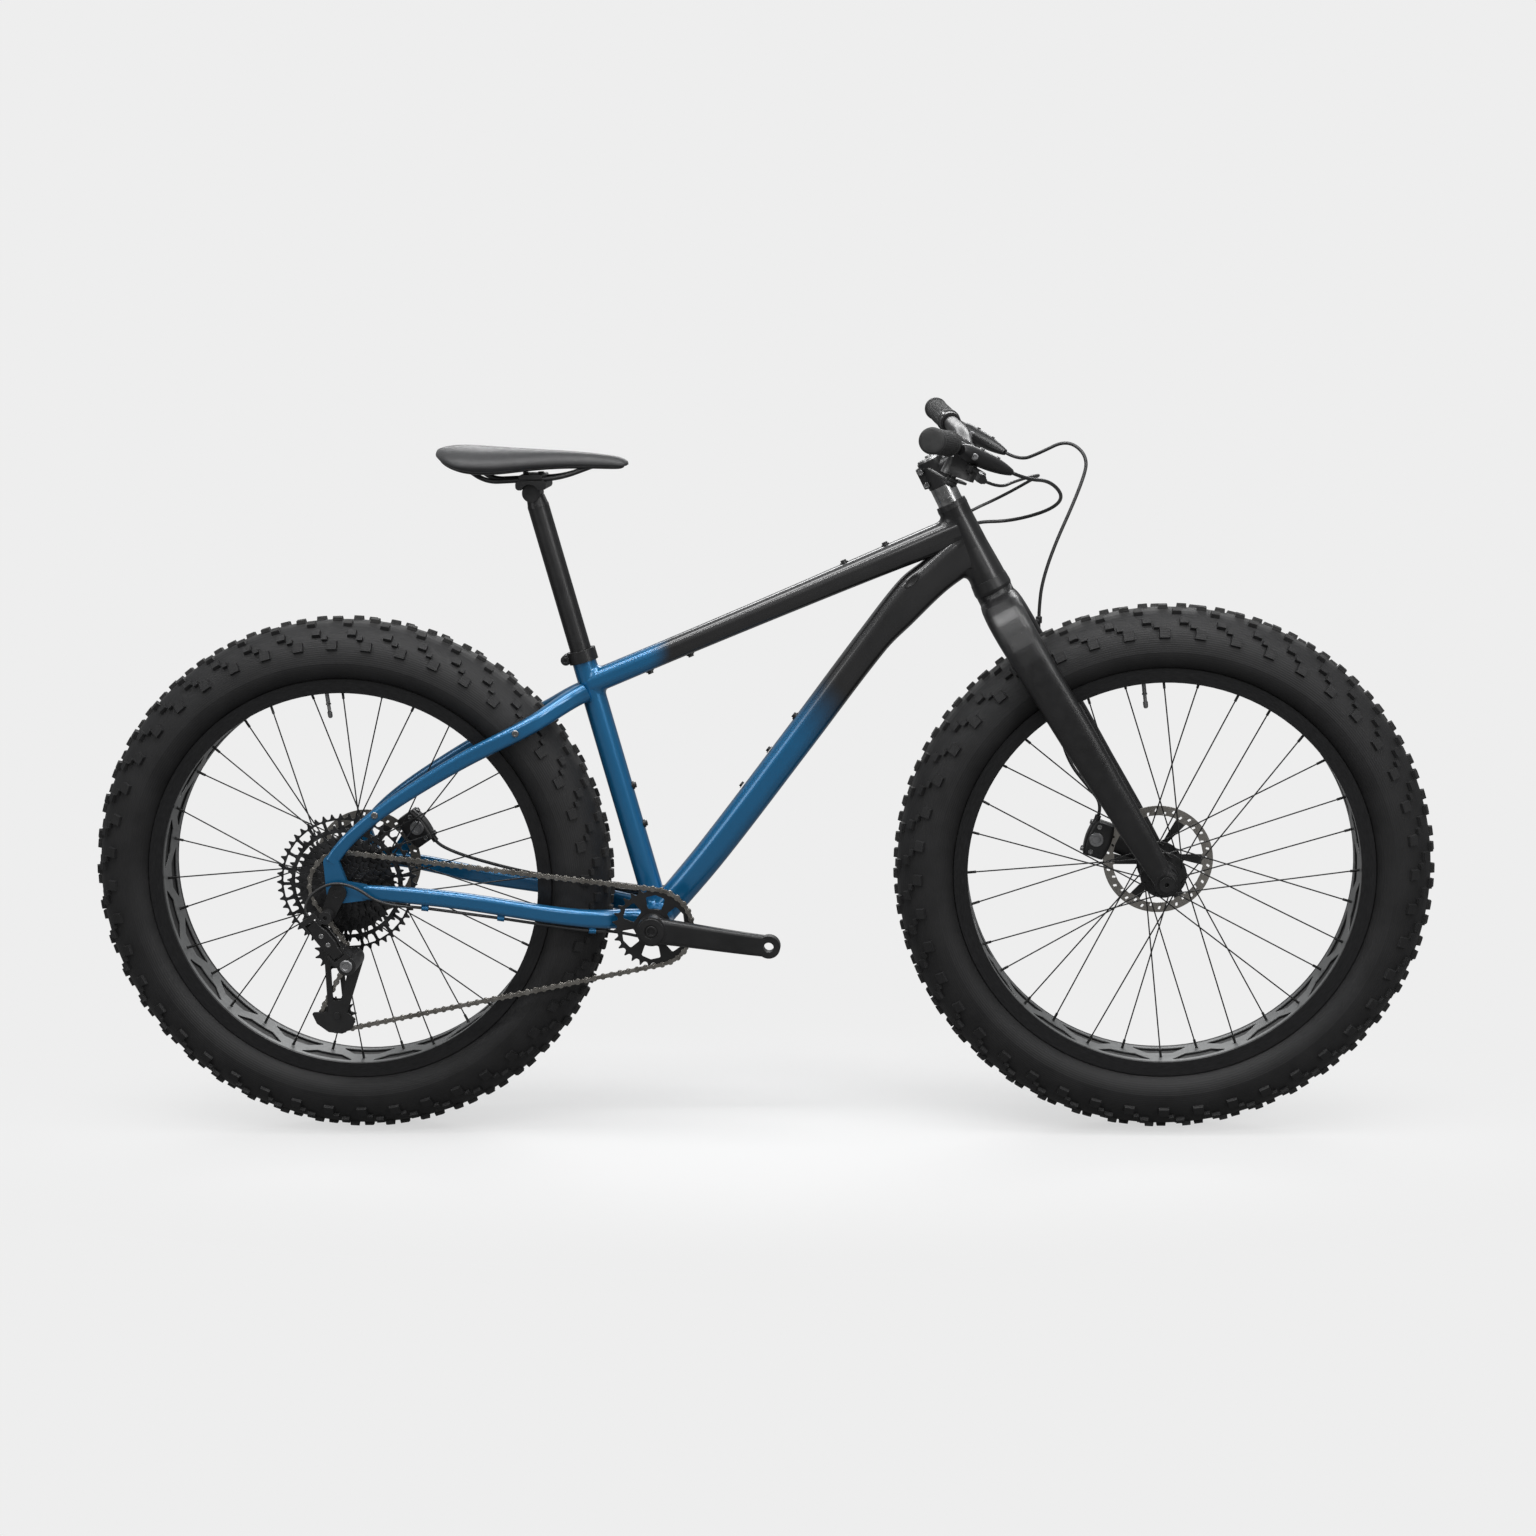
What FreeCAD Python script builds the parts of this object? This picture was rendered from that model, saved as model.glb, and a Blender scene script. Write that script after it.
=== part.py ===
import FreeCAD, Part
import math
import os
from FreeCAD import Vector as V

# Fat tyre hardtail bicycle in millimetres: +X forward, +Y rider's left, +Z up, ground at Z = 0.

# Layout
WHEELBASE = 1180.0
TYRE_RADIUS = 386.0
CHAINSTAY_LENGTH = 453.5
BB_DROP = 64.0
HEAD_ANGLE = 64.5
FORK_RAKE = 39.0
AXLE_TO_CROWN = 472.0
HEAD_LENGTH = 112.0
SEAT_ANGLE = 75.8
SEAT_TUBE_LENGTH = 405.0
SADDLE_HEIGHT = 650.0
BAR_HALF = 380.0
GAP = 0.3

# Wheels
TYRE_WIDTH = 112.0
TYRE_WALL = 3.2
KNOB_HEIGHT = 5.5
KNOB_PITCHES = 44
TREAD_ROWS = ((0.03, 64, 14.5, 13), (0.25, 53, 8, 6), (0.5, 44, 12, 10), (0.68, 23, 12, 10))
BEAD_RADIUS = 292.0
RIM_WIDTH = 80.0
RIM_DEPTH = 20.0
RIM_WALL = 3.0
RIM_HOOK = 6.5
SPOKES = 32
SPOKE_RADIUS = 1.0
FLANGE_RADIUS = 33.0
FLANGE_THICK = 3.4
SPOKE_CIRCLE = 28.5
FRONT_WIDTH = 150.0
REAR_WIDTH = 197.0
FRONT_AXLE_RADIUS = 7.5
REAR_AXLE_RADIUS = 6.0
ROTOR_RADIUS = 80.0
ROTOR_THICK = 1.8
ROTOR_INSET = 14.0

# Drivetrain
PITCH = 12.7
ROLLER_RADIUS = 3.85
PLATE_END = 4.2
PLATE_WAIST = 5.2
RING_TEETH = 28
COGS = (11, 13, 15, 17, 19, 22, 25, 28, 32, 36, 42, 50)
CHAIN_COG = 6
COG_PITCH = 3.73
COG_THICK = 1.6
TOOTH_TIP = 2.6
COG_INSET = 5.5
COG_LAP = 4.0
COG_PIN = 1.3
PULLEY_TEETH = 12
CRANK_LENGTH = 170.0
CRANK_ANGLE = -7.6
Q_FACTOR = 203.0
SPINDLE_RADIUS = 14.5
SPINDLE_GAP = 0.02
PEDAL_HOLE_RADIUS = 7.14
BB_WIDTH = 100.0
BB_RADIUS = 23.0

# Tubes and fittings
FRAME_WALL = 1.8
SEAT_TUBE_RADIUS = 17.4
POST_RADIUS = 15.45
POST_BELOW = 110.0
STEERER_RADIUS = 14.3
LOWER_CUP = 18.5
UPPER_CUP = 8.0
SPACER = 9.0
SPACERS = 3
STEM_REACH = 45.0
STEM_HEIGHT = 40.0
BAR_CLAMP_RADIUS = 15.9
BAR_RADIUS = 11.1
BAR_RISE = 24.0
BAR_SWEEP = 9.0
BAR_UPSWEEP = 5.5
GRIP_LENGTH = 132.0
GRIP_RADIUS = 16.0
HOSE_RADIUS = 2.5
CABLE_RADIUS = 2.2
PLATE = 8.0
BOSS_GAP = 0.12

X = V(1, 0, 0)
Y = V(0, 1, 0)
Z = V(0, 0, 1)

# Points and axes that follow from the sizes
REAR = V(-WHEELBASE / 2, 0, TYRE_RADIUS)
FRONT = V(WHEELBASE / 2, 0, TYRE_RADIUS)
BB = REAR + V(math.sqrt(CHAINSTAY_LENGTH ** 2 - BB_DROP ** 2), 0, -BB_DROP)
HEAD_RAD = math.radians(HEAD_ANGLE)
HEAD_UP = V(-math.cos(HEAD_RAD), 0, math.sin(HEAD_RAD))
HEAD_FORE = V(math.sin(HEAD_RAD), 0, math.cos(HEAD_RAD))
SEAT_RAD = math.radians(SEAT_ANGLE)
SEAT_UP = V(-math.cos(SEAT_RAD), 0, math.sin(SEAT_RAD))
SEAT_FORE = V(math.sin(SEAT_RAD), 0, math.cos(SEAT_RAD))
CROWN = math.sqrt(AXLE_TO_CROWN ** 2 - FORK_RAKE ** 2)
HEAD_LOW = CROWN + GAP + LOWER_CUP
HEAD_HIGH = HEAD_LOW + HEAD_LENGTH
STEM_LOW = HEAD_HIGH + UPPER_CUP + GAP + SPACER * SPACERS
REAR_INNER = REAR_WIDTH / 2
FRONT_INNER = FRONT_WIDTH / 2
COG_Y = [-(REAR_INNER - COG_INSET) + COG_PITCH * i for i in range(len(COGS))]
CHAIN_Y = COG_Y[CHAIN_COG]
BUILT = {}


def keep(name, *solids):
    """Keep the solids of one node for the export at the end."""
    BUILT[name] = solids[0] if len(solids) == 1 else Part.makeCompound(list(solids))


def head(s, n=0.0, y=0.0):
    """Point by height along the steering axis, offset forward of it and side."""
    return FRONT - HEAD_FORE * FORK_RAKE + HEAD_UP * s + HEAD_FORE * n + Y * y


def seat(s, n=0.0, y=0.0):
    """Point by height along the seat tube from the bottom bracket."""
    return BB + SEAT_UP * s + SEAT_FORE * n + Y * y


def unit(vector):
    return V(vector).normalize()


def mirrored(shape):
    """The other side's copy of a piece."""
    return shape.mirror(V(), Y)


def both(shape):
    return shape, mirrored(shape)


def turned(shape, angle, centre=V()):
    """Copy turned about a Y axis through centre; a positive angle takes +X toward +Z."""
    return shape.rotated(centre, V(0, -1, 0), angle)


def polar(angle, radius, y=0.0):
    a = math.radians(angle)
    return V(radius * math.cos(a), y, radius * math.sin(a))


def rod(radius, start, end):
    """Solid cylinder between two points."""
    return Part.makeCylinder(radius, (end - start).Length, start, end - start)


def ring(outer, inner, start, end):
    """Tube between two points."""
    reach = unit(end - start)
    return rod(outer, start, end).cut(rod(inner, start - reach, end + reach))


def turning(profile, centre=V(), axis=Y, radial=X):
    """Solid of revolution from a closed profile of (radius, along) points."""
    points = [centre + radial * r + axis * a for r, a in profile]
    face = Part.Face(Part.makePolygon(points + points[:1]))
    return face.revolve(centre, axis, 360)


def rounded_outline(points, radius):
    """Closed wire through coplanar points with each corner rounded."""
    arcs = []
    for i, p in enumerate(points):
        before = unit(points[i - 1] - p)
        after = unit(points[(i + 1) % len(points)] - p)
        half = before.getAngle(after) / 2
        cut = radius / math.tan(half)
        middle = p + unit(before + after) * (radius / math.sin(half) - radius)
        arcs.append((p + before * cut, middle, p + after * cut))
    edges = []
    for i, (start, middle, end) in enumerate(arcs):
        edges.append(Part.Arc(start, middle, end).toShape())
        following = arcs[(i + 1) % len(arcs)][0]
        if (following - end).Length > 1e-6:
            edges.append(Part.LineSegment(end, following).toShape())
    return Part.Wire(edges)


def section(centre, a_dir, b_dir, a, b, corner):
    """Rounded rectangle, a long one way and b the other."""
    u = a_dir * (a / 2)
    v = b_dir * (b / 2)
    corners = [centre + u + v, centre - u + v, centre - u - v, centre + u - v]
    return rounded_outline(corners, min(corner, 0.48 * min(a, b)))


def loft(wires, ruled=False):
    return Part.makeLoft(wires, True, ruled, False, 3)


def dense(rows, steps):
    """Rows of numbers with smooth in-between rows, steps to a span."""
    result = []
    for i in range(len(rows) - 1):
        four = (rows[max(i - 1, 0)], rows[i], rows[i + 1], rows[min(i + 2, len(rows) - 1)])
        for k in range(steps):
            t = k / steps
            weights = (-t + 2 * t * t - t ** 3, 2 - 5 * t * t + 3 * t ** 3,
                       t + 4 * t * t - 3 * t ** 3, t ** 3 - t * t)
            result.append(tuple(sum(w * v for w, v in zip(weights, c)) / 2 for c in zip(*four)))
    return result + [tuple(rows[-1])]


def limb(stations, a_hint, shrink=0.0, ruled=False):
    """Loft through (point, a, b, corner) stations square to their path; a runs along a_hint."""
    points = [s[0] for s in stations]
    wires = []
    for i, (p, a, b, corner) in enumerate(stations):
        along = unit(points[min(i + 1, len(points) - 1)] - points[max(i - 1, 0)])
        b_dir = unit(along.cross(a_hint))
        a_dir = unit(b_dir.cross(along))
        wires.append(section(p, a_dir, b_dir, a - 2 * shrink, b - 2 * shrink, max(corner - shrink, 1.0)))
    return loft(wires, ruled)


def round_limb(stations):
    """Loft through circles (point, radius) square to their path."""
    points = [s[0] for s in stations]
    wires = []
    for i, (p, radius) in enumerate(stations):
        along = unit(points[min(i + 1, len(points) - 1)] - points[max(i - 1, 0)])
        wires.append(Part.Wire(Part.Circle(p, along, radius).toShape()))
    return loft(wires)


def tangents(circles):
    """Tangent points (leave, arrive) of a belt round circles (centre, radius, sense) in the XZ plane."""
    spans = []
    for i, (c1, r1, s1) in enumerate(circles):
        c2, r2, s2 = circles[(i + 1) % len(circles)]
        d = c2 - c1
        lean = math.atan2(d.z, d.x) - math.asin((s2 * r2 - s1 * r1) / math.hypot(d.x, d.z))
        left = V(-math.sin(lean), 0, math.cos(lean))
        spans.append((c1 - left * (s1 * r1), c2 - left * (s2 * r2)))
    return spans


def belt_parts(circles):
    """Arc and line parts of a belt: ("arc", centre, radius, start, sweep) and ("line", start, end)."""
    spans = tangents(circles)
    parts = []
    for i, (centre, radius, sense) in enumerate(circles):
        arrive = spans[i - 1][1] - centre
        leave = spans[i][0] - centre
        start = math.degrees(math.atan2(arrive.z, arrive.x))
        sweep = math.degrees(math.atan2(leave.z, leave.x)) - start
        parts.append(("arc", centre, radius, start, sense * ((sense * sweep) % 360)))
        parts.append(("line", spans[i][0], spans[i][1]))
    return parts


def belt_wire(circles):
    edges = []
    for part in belt_parts(circles):
        if part[0] == "line":
            edges.append(Part.LineSegment(part[1], part[2]).toShape())
        else:
            centre, radius, start, sweep = part[1:]
            points = [centre + polar(start + sweep * k, radius) for k in (0, 0.5, 1)]
            edges.append(Part.Arc(*points).toShape())
    return Part.Wire(edges)


def belt_plate(circles, y, thick, holes=()):
    """Flat plate inside a belt round circles (x, z, radius), from y to y + thick, with round holes."""
    wires = [belt_wire([(V(x, y, z), r, 1) for x, z, r in circles])]
    wires += [Part.Wire(Part.Circle(V(x, y, z), Y, r).toShape()) for x, z, r in holes]
    return Part.makeFace(wires, "Part::FaceMakerBullseye").extrude(Y * thick)


def cord(points, radius, bend=0.45):
    """Round cord along straight runs joined by tangent arcs."""
    edges = []
    start = points[0]
    for i in range(1, len(points) - 1):
        before = points[i - 1] - points[i]
        after = points[i + 1] - points[i]
        cut = bend * min(before.Length, after.Length)
        half = unit(before).getAngle(unit(after)) / 2
        arc_radius = cut * math.tan(half)
        inward = unit(unit(before) + unit(after))
        middle = points[i] + inward * (arc_radius / math.sin(half) - arc_radius)
        first = points[i] + unit(before) * cut
        last = points[i] + unit(after) * cut
        edges.append(Part.LineSegment(start, first).toShape())
        edges.append(Part.Arc(first, middle, last).toShape())
        start = last
    edges.append(Part.LineSegment(start, points[-1]).toShape())
    path = Part.Wire(edges)
    end = Part.Wire(Part.Circle(points[0], points[1] - points[0], radius).toShape())
    return path.makePipeShell([end], True, False)


def bolt(head_radius, head_height, at, out):
    """Round bolt head with a hex socket, standing on a surface."""
    top = at + unit(out) * head_height
    side = unit(out).cross(Y if abs(unit(out).y) < 0.9 else X)
    corners = []
    for k in range(6):
        turn = FreeCAD.Rotation(unit(out), 60.0 * k)
        corners.append(top + turn.multVec(unit(side)) * head_radius * 0.55)
    socket = Part.Face(Part.makePolygon(corners + corners[:1])).extrude(unit(out) * (-0.6 * head_height))
    return rod(head_radius, at, top).cut(socket)


# Wheels


def tread_knob(angle, lean, length, width, centre_radius, tube_radius):
    """One tread block on the tyre at an angle round the wheel and a lean off the crown."""
    low = tube_radius - 2.5
    high = tube_radius + KNOB_HEIGHT * (1.0 if abs(lean) < 60 else 0.8)
    out = V(math.cos(math.radians(lean)), math.sin(math.radians(lean)), 0)
    across = V(-out.y, out.x, 0)
    hub = V(centre_radius, 0, 0)
    wires = []
    for depth, grow in ((low, 1.1), (high, 0.96)):
        u = across * (width / 2 * grow)
        v = Z * (length / 2 * grow)
        c = hub + out * depth
        wires.append(Part.makePolygon([c + u + v, c - u + v, c - u - v, c + u - v, c + u + v]))
    return turned(loft(wires, True), angle)


def tyre():
    """Casing with tread blocks: one tread pitch is built, then its faces are repeated and sewn."""
    half = TYRE_WIDTH / 2
    crown = TYRE_RADIUS - KNOB_HEIGHT
    middle = crown - half
    step = 360.0 / KNOB_PITCHES
    foot = BEAD_RADIUS + 0.2
    edge = BEAD_RADIUS + RIM_HOOK + 0.4
    bead = RIM_WIDTH / 2 - 3.6
    wall = TYRE_WALL
    wide = half - 0.2 * (half - bead)

    def arc(*points):
        return Part.Arc(*[V(r, y, 0) for r, y in points]).toShape()

    def line(*points):
        return Part.LineSegment(*[V(r, y, 0) for r, y in points]).toShape()

    outer = half
    inner = half - wall
    low = (middle + edge) / 2
    casing = Part.Wire([
        arc((middle, -outer), (crown, 0), (middle, outer)),
        arc((middle, outer), (low, wide), (edge, bead)),
        line((edge, bead), (foot, bead)),
        line((foot, bead), (foot, bead - 7)),
        line((foot, bead - 7), (edge, bead - 5)),
        arc((edge, bead - 5), (low, wide - wall), (middle, inner)),
        arc((middle, inner), (crown - wall, 0), (middle, -inner)),
        arc((middle, -inner), (low, wall - wide), (edge, 5 - bead)),
        line((edge, 5 - bead), (foot, 7 - bead)),
        line((foot, 7 - bead), (foot, -bead)),
        line((foot, -bead), (edge, -bead)),
        arc((edge, -bead), (low, -wide), (middle, -outer)),
    ])
    start = -0.15 * step
    sector = turned(Part.Face(casing).revolve(V(), V(0, -1, 0), step), start)
    knobs = []
    for side, shift in ((-1, 0.0), (1, 0.5)):
        for place, lean, length, width in TREAD_ROWS:
            at = (place + shift + 0.15) % 1.0 - 0.15
            knobs.append(tread_knob(at * step, side * lean, length, width, middle, half))
    for place, lean in ((0.02, -7), (0.52, 7)):
        knobs.append(tread_knob(place * step, lean, 13, 9, middle, half - 0.15))
    sector = sector.multiFuse(knobs)
    faces = []
    for face in sector.Faces:
        c = face.CenterOfMass
        angle = math.degrees(math.atan2(c.z, c.x))
        on_end = min(abs(angle - start), abs(angle - start - step)) < 1e-4
        if not (on_end and isinstance(face.Surface, Part.Plane)):
            faces.append(face)
    copies = [turned(f, step * k) for k in range(KNOB_PITCHES) for f in faces]
    shell = Part.makeShell(copies)
    shell.sewShape()
    return Part.makeSolid(shell)


def rim_levels():
    """Radii of the spoke bed's inner and outer faces."""
    low = BEAD_RADIUS + RIM_HOOK - RIM_DEPTH
    return low, low + RIM_WALL


def rim():
    """Single wall rim: hooked sides, spoke holes and a zigzag of trapezium windows."""
    low, bed = rim_levels()
    half = RIM_WIDTH / 2
    hook = BEAD_RADIUS + RIM_HOOK
    side = [
        (low, half - 0.5), (hook, half + 0.5), (hook, half - 1.6), (BEAD_RADIUS + 3.5, half - 2.4),
        (BEAD_RADIUS, half - 3.0), (BEAD_RADIUS - 1.0, half - 12), (bed, half - 15),
    ]
    profile = side + [(r, -y) for r, y in reversed(side)]
    body = turning(profile)
    step = 360.0 / SPOKES
    arc_step = 2 * math.pi * low * step / 360
    long_side = 0.76 * arc_step
    short_side = 0.34 * arc_step
    row = nipple_row()
    tools = []
    for k in range(SPOKES):
        sign = 1 if k % 2 else -1
        corners = []
        for v, y in ((-long_side, half - 14), (long_side, half - 14), (short_side, 3.5), (-short_side, 3.5)):
            corners.append(V(low - 8, -sign * y, v))
        window = Part.Face(rounded_outline(corners, 2.5)).extrude(X * 20)
        hole = rod(SPOKE_RADIUS + 1.6, V(low - 8, sign * row, 0), V(low + 10, sign * row, 0))
        tools += [turned(window, step * k), turned(hole, step * k)]
    return body.cut(tools)


def nipple_row():
    return RIM_WIDTH * 0.17


def rim_strip():
    """Band that closes the windows from inside the tyre."""
    bed = rim_levels()[1]
    half = RIM_WIDTH / 2 - 15.4
    return turning([(bed + 0.05, -half), (bed + 0.9, -half), (bed + 0.9, half), (bed + 0.05, half)])


def spokes(right, left):
    """Three-cross spokes with elbow, head and nipple from flanges at y = right and y = left."""
    step = 360.0 / SPOKES
    cross = 3 * 2 * step
    bed = rim_levels()[1]
    over = math.sqrt(FLANGE_RADIUS ** 2 - SPOKE_CIRCLE ** 2)
    solids = []
    for flange, sign in ((right, -1), (left, 1)):
        drift = 1.15 * over * (abs(flange) - nipple_row()) / (bed - FLANGE_RADIUS)
        for leading in (0, 1):
            outward = -1 if leading else 1
            extra = drift if outward * sign > 0 else 0.0
            offset = outward * (FLANGE_THICK / 2 + SPOKE_RADIUS + 0.05 + extra)
            elbow = V(SPOKE_CIRCLE, flange + offset, 0)
            head_end = V(SPOKE_CIRCLE, flange - outward * (FLANGE_THICK / 2 + 0.05), 0)
            tip = polar(cross if leading else -cross, bed - 0.6, sign * nipple_row())
            along = unit(tip - elbow)
            wire = rod(SPOKE_RADIUS, elbow, tip - along * 14)
            nipple = rod(SPOKE_RADIUS + 0.9, tip - along * 15, tip)
            bend = Part.makeSphere(SPOKE_RADIUS, elbow)
            shank = rod(SPOKE_RADIUS, elbow, head_end)
            button = rod(SPOKE_RADIUS + 0.9, head_end, head_end - Y * (outward * 1.3))
            one = wire.multiFuse([bend, shank, button, nipple])
            first = 0.0 if sign < 0 else step
            for k in range(SPOKES // 4):
                solids.append(turned(one, first + (4 * k + 2 * leading) * step))
    return Part.makeCompound(solids)


def hub(right, left, bore, right_end, left_end, rotor_y):
    """Hub shell with drilled flanges, rotor boss and two bearings."""
    f = FLANGE_THICK / 2
    barrel = 17.0
    seat_r = bore + 7.0
    profile = [
        (seat_r, right_end), (barrel + 2, right_end), (barrel + 4, right - f), (FLANGE_RADIUS, right - f),
        (FLANGE_RADIUS, right + f), (barrel + 4, right + f), (barrel, right + 9), (barrel, left - 9),
        (barrel + 4, left - f), (FLANGE_RADIUS, left - f), (FLANGE_RADIUS, left + f),
        (barrel + 5, left + f), (barrel + 5, rotor_y - ROTOR_THICK / 2), (seat_r + 2, rotor_y + 1.2),
        (seat_r + 2, left_end), (seat_r, left_end), (seat_r, left_end - 8), (bore + 2.5, left_end - 8),
        (bore + 2.5, right_end + 8), (seat_r, right_end + 8),
    ]
    shell = turning(profile)
    step = 360.0 / SPOKES
    holes = []
    for y, first in ((right, 0.0), (left, step)):
        for k in range(SPOKES // 2):
            c = polar(first + 2 * k * step, SPOKE_CIRCLE, y)
            holes.append(rod(SPOKE_RADIUS + 0.3, c - Y * 4, c + Y * 4))
    shell = shell.cut(holes)
    bearings = []
    for y in (right_end + 0.5, left_end - 7.8):
        bearings.append(ring(seat_r - 0.02, bore + 0.1, V(0, y, 0), V(0, y + 7, 0)))
    return Part.makeCompound([shell] + bearings)


def rotor(y):
    """Disc with slanted slots, six swept arms and a carrier."""
    outer = ROTOR_RADIUS
    track = outer - 14.0
    carrier = 26.0
    wires = [Part.Wire(Part.Circle(V(0, y, 0), Y, outer).toShape())]
    wires.append(Part.Wire(Part.Circle(V(0, y, 0), Y, carrier - 4).toShape()))
    for k in range(36):
        a = k * 10.0
        shift = 4.5 if k % 2 else 9.0
        slot = [polar(a, outer - shift, y), polar(a + 2.6, outer - shift + 0.6, y)]
        slot += [polar(a + 4.2, outer - shift - 4.0, y), polar(a + 1.6, outer - shift - 4.6, y)]
        wires.append(rounded_outline(slot, 0.9))
    for k in range(6):
        a = k * 60.0
        gap = [polar(a + 6 + 46 * t / 4, track, y) for t in range(5)]
        gap += [polar(a + 22 - 46 * t / 4 + 40, carrier, y) for t in range(5)]
        wires.append(rounded_outline(gap, 2.0))
    return Part.makeFace(wires, "Part::FaceMakerBullseye").extrude(Y * ROTOR_THICK)


def at(place, shape):
    return shape.translated(place)


def wheels():
    casing = tyre()
    band = rim()
    strip = rim_strip()
    layouts = {
        "front": (FRONT, FRONT_INNER, -FRONT_INNER + 38, FRONT_INNER - 42, FRONT_AXLE_RADIUS, 12.0),
        "rear": (REAR, REAR_INNER, COG_Y[-1] + 14, REAR_INNER - 52, REAR_AXLE_RADIUS, None),
    }
    for name, (place, inner, right, left, axle, cap) in layouts.items():
        rotor_y = inner - ROTOR_INSET
        right_end = -inner + cap if cap else COG_Y[-1] + 6
        bore = axle + 0.1
        keep(name + "_tyre", at(place, casing))
        keep(name + "_rim", at(place, band))
        keep(name + "_rim_strip", at(place, strip))
        keep(name + "_spokes", at(place, spokes(right, left)))
        keep(name + "_hub", at(place, hub(right, left, bore, right_end, inner - 8, rotor_y)))
        keep(name + "_rotor", at(place, rotor(rotor_y - ROTOR_THICK / 2)))


# Drivetrain


def pitch_radius(teeth):
    return teeth * PITCH / (2 * math.pi)


def toothed_wire(teeth, y, phase):
    """Sprocket outline with a roller seat at the phase angle."""
    radius = pitch_radius(teeth)
    step = 360.0 / teeth
    half = math.radians(step / 2)
    lean = ((radius + TOOTH_TIP) * math.sin(half) - 0.8) / math.cos(half)
    seat_r = ROLLER_RADIUS + 0.15
    edges = []
    last = None
    first = None
    for k in range(teeth):
        a = phase + k * step
        c = polar(a, radius, y)
        out = unit(polar(a, 1.0))
        side = V(-out.z, 0, out.x)
        low = c - side * (seat_r * 0.87) - out * (seat_r * 0.49)
        high = c + side * (seat_r * 0.87) - out * (seat_r * 0.49)
        tip_in = c - side * lean + out * TOOTH_TIP
        tip_out = c + side * lean + out * TOOTH_TIP
        if last is not None:
            edges.append(Part.LineSegment(last, tip_in).toShape())
        else:
            first = tip_in
        edges.append(Part.LineSegment(tip_in, low).toShape())
        edges.append(Part.Arc(low, c - out * seat_r, high).toShape())
        edges.append(Part.LineSegment(high, tip_out).toShape())
        last = tip_out
    edges.append(Part.LineSegment(last, first).toShape())
    return Part.Wire(edges)


def sprocket(teeth, y, phase, bore, holes=()):
    """Flat sprocket centred on y with a bore and round or shaped holes."""
    low = y - COG_THICK / 2
    wires = [toothed_wire(teeth, low, phase)]
    wires.append(Part.Wire(Part.Circle(V(0, low, 0), Y, bore).toShape()))
    wires += holes
    return Part.makeFace(wires, "Part::FaceMakerBullseye").extrude(Y * COG_THICK)


CAGE_PIVOT = REAR + V(12.0, CHAIN_Y, -103.0)
GUIDE_ARM = V(-34.0, 0, 4.0)
TENSION_ARM = V(-34.0, 0, -90.0)


def chain_circles(swing):
    """Belt circles of the chain for a swing of the derailleur cage."""
    turn = FreeCAD.Rotation(V(0, -1, 0), swing)
    guide = CAGE_PIVOT + turn.multVec(GUIDE_ARM)
    tension = CAGE_PIVOT + turn.multVec(TENSION_ARM)
    small = pitch_radius(PULLEY_TEETH)
    return [
        (V(BB.x, CHAIN_Y, BB.z), pitch_radius(RING_TEETH), 1),
        (V(REAR.x, CHAIN_Y, REAR.z), pitch_radius(COGS[CHAIN_COG]), 1),
        (guide, small, -1),
        (tension, small, 1),
    ]


def part_length(part):
    if part[0] == "line":
        return (part[2] - part[1]).Length
    return abs(math.radians(part[4])) * part[2]


def path_length(swing):
    return sum(part_length(p) for p in belt_parts(chain_circles(swing)))


def cage_swing():
    """Swing that takes up the slack of a chain with a whole even number of links."""
    target = 2 * PITCH * round(path_length(0.0) / (2 * PITCH))
    low, high = -25.0, 25.0
    rising = path_length(high) > path_length(low)
    for _ in range(50):
        middle = (low + high) / 2
        if (path_length(middle) < target) == rising:
            low = middle
        else:
            high = middle
    return low


CAGE_SWING = cage_swing()
CHAIN_CIRCLES = chain_circles(CAGE_SWING)
CHAIN_PARTS = belt_parts(CHAIN_CIRCLES)
CHAIN_LINKS = 2 * round(path_length(CAGE_SWING) / (2 * PITCH))
GUIDE = CHAIN_CIRCLES[2][0]
TENSION = CHAIN_CIRCLES[3][0]


def pin_points():
    """Chain pin centres, one pitch apart along the belt."""
    points = []
    parts = list(CHAIN_PARTS)
    lengths = [part_length(p) for p in parts]
    for k in range(CHAIN_LINKS):
        s = k * PITCH
        i = 0
        while s > lengths[i] and i < len(parts) - 1:
            s -= lengths[i]
            i += 1
        part = parts[i]
        if part[0] == "line":
            points.append(part[1] + unit(part[2] - part[1]) * s)
        else:
            centre, radius, start, sweep = part[1:]
            points.append(centre + polar(start + math.copysign(math.degrees(s / radius), sweep), radius))
    return points


PINS = pin_points()


def phase_at(circle):
    """Angle of a chain pin that sits on this circle's wrap."""
    index = 2 * circle
    start = CHAIN_PARTS[index][3]
    sweep = CHAIN_PARTS[index][4]
    run = sum(part_length(p) for p in CHAIN_PARTS[:index])
    offset = (math.ceil(run / PITCH) * PITCH - run) / CHAIN_PARTS[index][2]
    return start + math.copysign(math.degrees(offset), sweep)


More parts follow.
